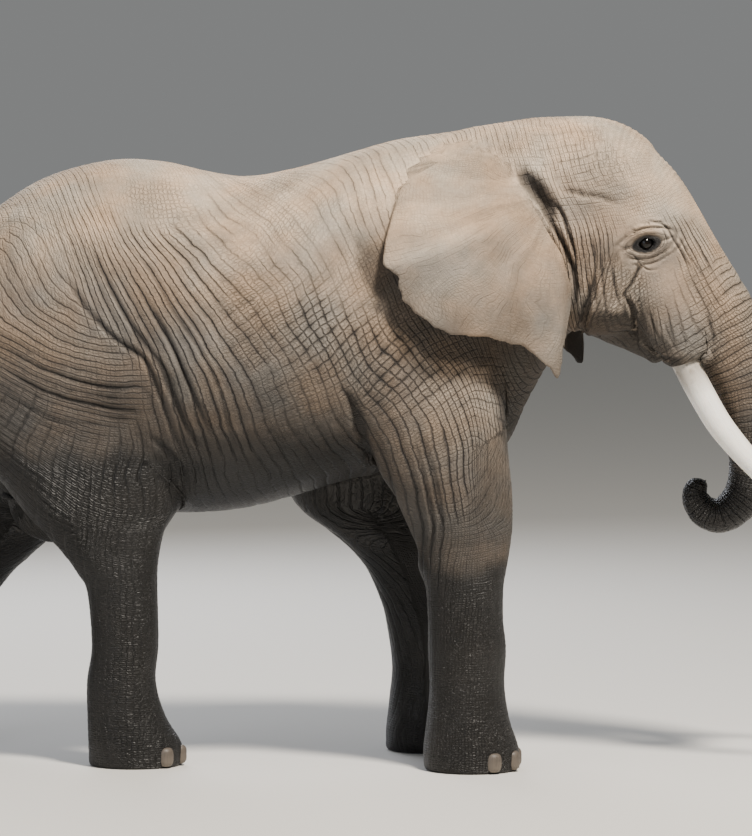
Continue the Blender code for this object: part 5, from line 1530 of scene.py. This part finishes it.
# %% [markdown]
# ## Tusks
# A tusk is an incisor that never stops growing: ivory in fine lengthwise grain, cream
# where it leaves the lip and polished whiter by use, with hairline cracks and stains of
# sap near the root, and a worn tip. The shape is a circle carried along a bent line,
# its radius waving slightly, as growth is never even.

# %% Tusk surface
# Left tusk, root to tip: forward, side, up, radius.
TUSK_STATIONS = [
    (1.505, 0.170, 2.210, 0.0660), (1.587, 0.200, 2.027, 0.0675), (1.690, 0.220, 1.830, 0.0660),
    (1.790, 0.238, 1.672, 0.0630), (1.965, 0.265, 1.475, 0.0530), (2.130, 0.290, 1.330, 0.0400),
    (2.270, 0.308, 1.235, 0.0260), (2.350, 0.317, 1.192, 0.0150), (2.385, 0.320, 1.175, 0.0060),
]
GRAIN_LENGTH, GRAIN_RADIUS = 1.6, 0.06   # metres that the grain's own space gives the tusk
IVORY_CREAM, IVORY_WHITE, IVORY_STAIN, IVORY_SPLIT = "#F4EDE0", "#FFFDF8", "#57452F", "#8C765C"


def tusk_surface(side, rings=140, around=48):
    """Circles of the tusk's radius square to its line, with shallow flutes and a worn flat.

    The radius is multiplied by 1 - 0.006 cos(7 angle + 2 share) - 0.008 sin(3 angle + 9 share).
    Also returns each point's place in the grain: along the tusk, and on a circle round it.
    """
    c = curve(TUSK_STATIONS, rings)
    path, radius = c[:, :3], c[:, 3:4]
    ahead = unit(np.gradient(path, axis=0))
    across = unit(np.cross(ahead, np.cross(ahead, SIDEWAYS)))
    facing = np.cross(ahead, across)
    turn, share = round_turns(around)[None], np.linspace(0, 1, rings)[:, None]
    flute = 1 - 0.006 * np.cos(7 * turn + 2 * share) - 0.008 * np.sin(3 * turn + 9 * share)
    worn = 1 - 0.12 * smoothstep(0.93, 1.0, share) * (np.cos(turn) > 0)
    radius = np.maximum(radius * flute * worn, 0.002)[..., None]
    points = path[:, None] + radius * (np.cos(turn)[..., None] * across[:, None]
                                       + np.sin(turn)[..., None] * facing[:, None])
    faces = ring_faces(rings, around)
    faces = faces if side > 0 else [face[::-1] for face in faces]
    grain = np.stack(np.broadcast_arrays(share * GRAIN_LENGTH, np.cos(turn) * GRAIN_RADIUS,
                                         np.sin(turn) * GRAIN_RADIUS), axis=-1)
    return points.reshape(-1, 3) * [1, side, 1], faces, grain.reshape(-1, 3)


def ivory_material():
    """Ivory: cream dentine, waxy, with grain that runs lengthwise and stain near the lip."""
    mat, shader, node = new_material("ivory_grown_and_worn")
    grain = node("Attribute", out="Vector", attribute_name="grain")
    along = node("SeparateXYZ", grain)
    drawn_out = node("Mapping", grain, named={"Scale": (2.2, 60.0, 60.0)})
    streaks, hairs = (node("TexNoise", drawn_out, scale, detail) for scale, detail in ((2.0, 5.0), (5.0, 3.0)))
    split = node("Math ABSOLUTE", node("Math SUBTRACT", hairs, 0.5))
    split = node("MapRange", split, 0.0, 0.012, 1.0, 0.0)
    near_lip = node("MapRange SMOOTHSTEP", along, 0.26, 0.42, 1.0, 0.0)
    blots = node("MapRange", node("TexNoise", node("TexCoord", out="Object"), 16.0, 6.0), 0.50, 0.72)
    stain = node("Math MULTIPLY", near_lip, node("Math MULTIPLY_ADD", blots, 0.30, 0.62))
    base = node("Mix", streaks, linear(IVORY_CREAM), linear(IVORY_WHITE), **RGBA)
    base = node("Mix", stain, base, linear(IVORY_STAIN), **RGBA)
    base = node("Mix", node("Math MULTIPLY", split, 0.35), base, linear(IVORY_SPLIT), **RGBA)
    height = node("Math SUBTRACT", node("Math MULTIPLY", streaks, 0.5), split)
    fill(shader, named={
        "Base Color": base, "Roughness": node("MapRange", streaks, 0.0, 1.0, 0.30, 0.48), "IOR": 1.54,
        "Subsurface Weight": 0.12, "Subsurface Radius": (0.02, 0.014, 0.009),
        "Normal": node("Bump", named={"Height": height, "Strength": 0.6, "Distance": 0.0006})})
    return mat


ivory_look = ivory_material()
for side, hand in HANDS:
    points, faces, grain = tusk_surface(side)
    tusk = piece("ivory_tusk_" + hand, points, faces, ivory_look, ["tusk_" + hand], "ivory")
    write_attribute(tusk.data, "grain", grain)
print("tusks", len(points), "points each")

# %% [markdown]
# ## Toenails
# Each forefoot shows four nails and each hind foot three: blunt shields of horn set in
# the hide, ridged from top to bottom, pale at the worn lower edge. One nail is a dome on
# a rounded square, bent round the foot, and all nails of a foot are one mesh.

# %% Nails
NAIL_HEIGHT = 0.056                      # metres from the floor to the middle of a nail
NAIL_SIZE = (0.022, 0.043, 0.048)        # dome, half width, half height
NAIL_DEPTH = 0.012                       # metres that its back lies inside the foot
NAIL_RIDGE, RIDGE_TURNS = 0.0008, 900    # metres, radians per metre
FORE_NAILS, HIND_NAILS = (-56, -19, 19, 56), (-40, 0, 40)
HORN_DARK, HORN_PALE, HORN_WORN = "#3E3934", "#6B6157", "#857A6C"


def nail_surface(centre, turn, around=40, rings=14):
    """A dome: polar rings whose outline is a superellipse of power 3, domed by a cosine.

    The dome is depth x cos(share^2.5 x 90 degrees)^0.7, with sine ridges from top to bottom.
    """
    angle, share = round_turns(around)[None], np.linspace(0.02, 1, rings)[:, None]
    c, s = np.cos(angle), np.sin(angle)
    square = (np.abs(c) ** 3 + np.abs(s) ** 3) ** (-1 / 3)
    across, up = NAIL_SIZE[1] * share * square * c, NAIL_SIZE[2] * share * square * s
    dome = NAIL_SIZE[0] * np.cos(share**2.5 * np.pi / 2) ** 0.7
    dome = dome + NAIL_RIDGE * np.sin(across * RIDGE_TURNS) * (1 - share**4)
    dome = np.concatenate([dome - 0.35 * across**2 / NAIL_SIZE[1], np.full((1, around), -NAIL_DEPTH)])
    across, up = (np.concatenate([a, 0.8 * a[-1:]]) for a in (across, up))
    ahead = np.array([math.cos(turn), math.sin(turn), 0])
    side = np.array([-math.sin(turn), math.cos(turn), 0])
    points = centre + dome[..., None] * ahead + across[..., None] * side + up[..., None] * [0, 0, 1.0]
    points[..., 2] = np.maximum(points[..., 2], 0.0005)
    return points.reshape(-1, 3), ring_faces(rings + 1, around)


def foot_nails(foot, leg):
    """All nails on the front arc of one foot."""
    row = np.abs(leg["path"][:, 2] - NAIL_HEIGHT).argmin()
    centre, (half, front, _) = leg["path"][row], leg["sizes"][row]
    shells = []
    for degrees in FORE_NAILS if foot.startswith("fore") else HIND_NAILS:
        c, s = math.cos(math.radians(degrees)), math.sin(math.radians(degrees))
        place = np.array([centre[0] + 0.985 * front * c, centre[1] + 0.985 * half * s, NAIL_HEIGHT])
        shells.append(nail_surface(place, math.atan2(s / half, c / front)))
    return joined(shells)


def horn_material():
    """Nail horn: grey-tan keratin, ridged lengthwise, chalky where it wears on the ground."""
    mat, shader, node = new_material("nail_horn_worn")
    where = node("TexCoord", out="Object")
    height = node("SeparateXYZ", where, out="Z")
    ribs = node("TexNoise", node("Mapping", where, named={"Scale": (260.0, 260.0, 18.0)}), 1.0, 3.0)
    worn = node("Math MULTIPLY", node("MapRange", height, 0.0, 0.07, 1.0, 0.0), 0.5)
    base = node("Mix", ribs, linear(HORN_DARK), linear(HORN_PALE), **RGBA)
    fill(shader, named={
        "Base Color": node("Mix", worn, base, linear(HORN_WORN), **RGBA), "Roughness": 0.5,
        "Normal": node("Bump", named={"Height": ribs, "Strength": 0.8, "Distance": 0.0012})})
    return mat


horn_look = horn_material()
for foot, leg in zip(("forefoot_right", "forefoot_left", "hindfoot_right", "hindfoot_left"), LEGS):
    nodes = [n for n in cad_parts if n.startswith("nail_" + foot)]
    piece("toenails_" + foot, *foot_nails(foot, leg), horn_look, nodes, "nail")
print("nails on four feet")

# %% [markdown]
# ## Tail brush
# The tail ends in two rows of black bristles, thick as wire and as long as a forearm.
# Each bristle is a thin tapered tube carried along a bent line. Hundreds are made at
# once as one array: root places, directions and bends are rows of numbers, and a single
# grid of faces repeats for all. Each carries a small patch of the OFBake map at the
# place of its root on the tail.

# %% Bristles
TUFT_STATIONS = [
    (-2.338, 0, 1.32, 0.030, 0.036, 0.036), (-2.335, 0, 1.22, 0.030, 0.055, 0.055),
    (-2.330, 0, 1.08, 0.026, 0.065, 0.065), (-2.320, 0, 0.94, 0.018, 0.050, 0.050),
    (-2.310, 0, 0.84, 0.010, 0.022, 0.022),
]
TUFT_ROWS = 40
BRISTLES = 900
BRISTLE_RADII = (0.0008, 0.0013)
UV_PATCH, UV_MARGIN = 0.003, 0.05
BRISTLE_BLACK, BRISTLE_BROWN = "#0F0D0B", "#2E2721"


def strand_mesh(roots, tips, bends, thick, root_uv, sides=3, rings=7):
    """Tubes from roots to tips, pushed sideways by 4 x bend x t (1 - t), thinning as 1 - 0.85 t^2.

    Points and faces of all strands come from one array; the map gives each a small patch.
    """
    t = np.linspace(0, 1, rings)[None, :, None]
    line = roots[:, None] * (1 - t) + tips[:, None] * t + bends[:, None] * 4 * t * (1 - t)
    ahead = unit(np.gradient(line, axis=1))
    across = unit(np.cross(ahead, [0.31, 0.87, 0.23]))
    facing = np.cross(ahead, across)
    turn = round_turns(sides)
    radius = (thick[:, None] * (1 - 0.85 * t[..., 0] ** 2))[..., None, None]
    ring = np.cos(turn)[:, None] * across[..., None, :] + np.sin(turn)[:, None] * facing[..., None, :]
    points = (line[..., None, :] + radius * ring).reshape(-1, 3)
    single = np.array(ring_faces(rings, sides)[:-2])
    caps = np.array([[2, 1, 0], [0, 1, 2]]) + np.array([[0], [(rings - 1) * sides]])
    base = (np.arange(len(roots)) * rings * sides)[:, None, None]
    faces = (single[None] + base).reshape(-1, 4).tolist() + (caps[None] + base).reshape(-1, 3).tolist()
    shift = np.stack(np.broadcast_arrays(turn / (2 * np.pi), t[0]), axis=-1) * UV_PATCH
    uv = (root_uv[:, None, None] + shift[None]).reshape(-1, 2)
    return points, faces, uv


def write_uv(mesh, uv):
    """Writes the OFBake map from one place for each point."""
    layer = mesh.uv_layers.new(name="OFBake")
    corner = np.empty(len(mesh.loops), np.int32)
    mesh.loops.foreach_get("vertex_index", corner)
    layer.data.foreach_set("uv", uv[corner].astype(np.float32).ravel())


def bristle_material():
    """Tail bristle: black-brown keratin like thick wire, smooth, with a narrow shine."""
    mat, shader, node = new_material("tail_bristle_keratin")
    tone = node("TexNoise", node("TexCoord", out="Object"), 40.0)
    tone = node("Mix", tone, linear(BRISTLE_BLACK), linear(BRISTLE_BROWN), **RGBA)
    fill(shader, named={"Base Color": tone, "Roughness": 0.38})
    return mat


rng = np.random.default_rng(23)
tuft = limb(TUFT_STATIONS, TUFT_ROWS)
share = rng.random(BRISTLES) ** 1.5 * 0.55
row = share * (TUFT_ROWS - 1)
side_angle = np.where(rng.random(BRISTLES) < 0.5, 0, np.pi) + rng.normal(0, 0.55, BRISTLES)


def on_tuft(at):
    """Middle of the tail's tuft at each bristle's row, and the way out to its rim there."""
    size = tuft["sizes"][at]
    return tuft["path"][at], np.stack([np.cos(side_angle) * size[:, 1], np.sin(side_angle) * size[:, 0],
                                       0 * side_angle], axis=1)


middle, rim = on_tuft(row.astype(int))
roots = middle + 0.28 * rim
length = rng.uniform(0.55, 1.0, BRISTLES)
spread = rng.uniform(0.35, 0.95, BRISTLES)[:, None]
middle, rim = on_tuft(np.clip(row + length * 0.62 * TUFT_ROWS, 0, TUFT_ROWS - 1).astype(int))
tips = middle + spread * rim
bends = np.stack([np.cos(side_angle) * 0.012, np.sin(side_angle) * 0.005, 0 * row], axis=1)
bends = bends * rng.uniform(0.2, 1.0, (BRISTLES, 1))
root_uv = np.stack([side_angle % (2 * np.pi) / (2 * np.pi), share], axis=1)
root_uv = UV_MARGIN + (1 - 2 * UV_MARGIN) * root_uv
points, faces, uv = strand_mesh(roots, tips, bends, rng.uniform(*BRISTLE_RADII, BRISTLES), root_uv)
brush = piece("tail_bristles", points, faces, bristle_material(), ["tail_tuft"], "hair")
write_uv(brush.data, uv)
print("bristles", BRISTLES, "with", len(faces), "faces")
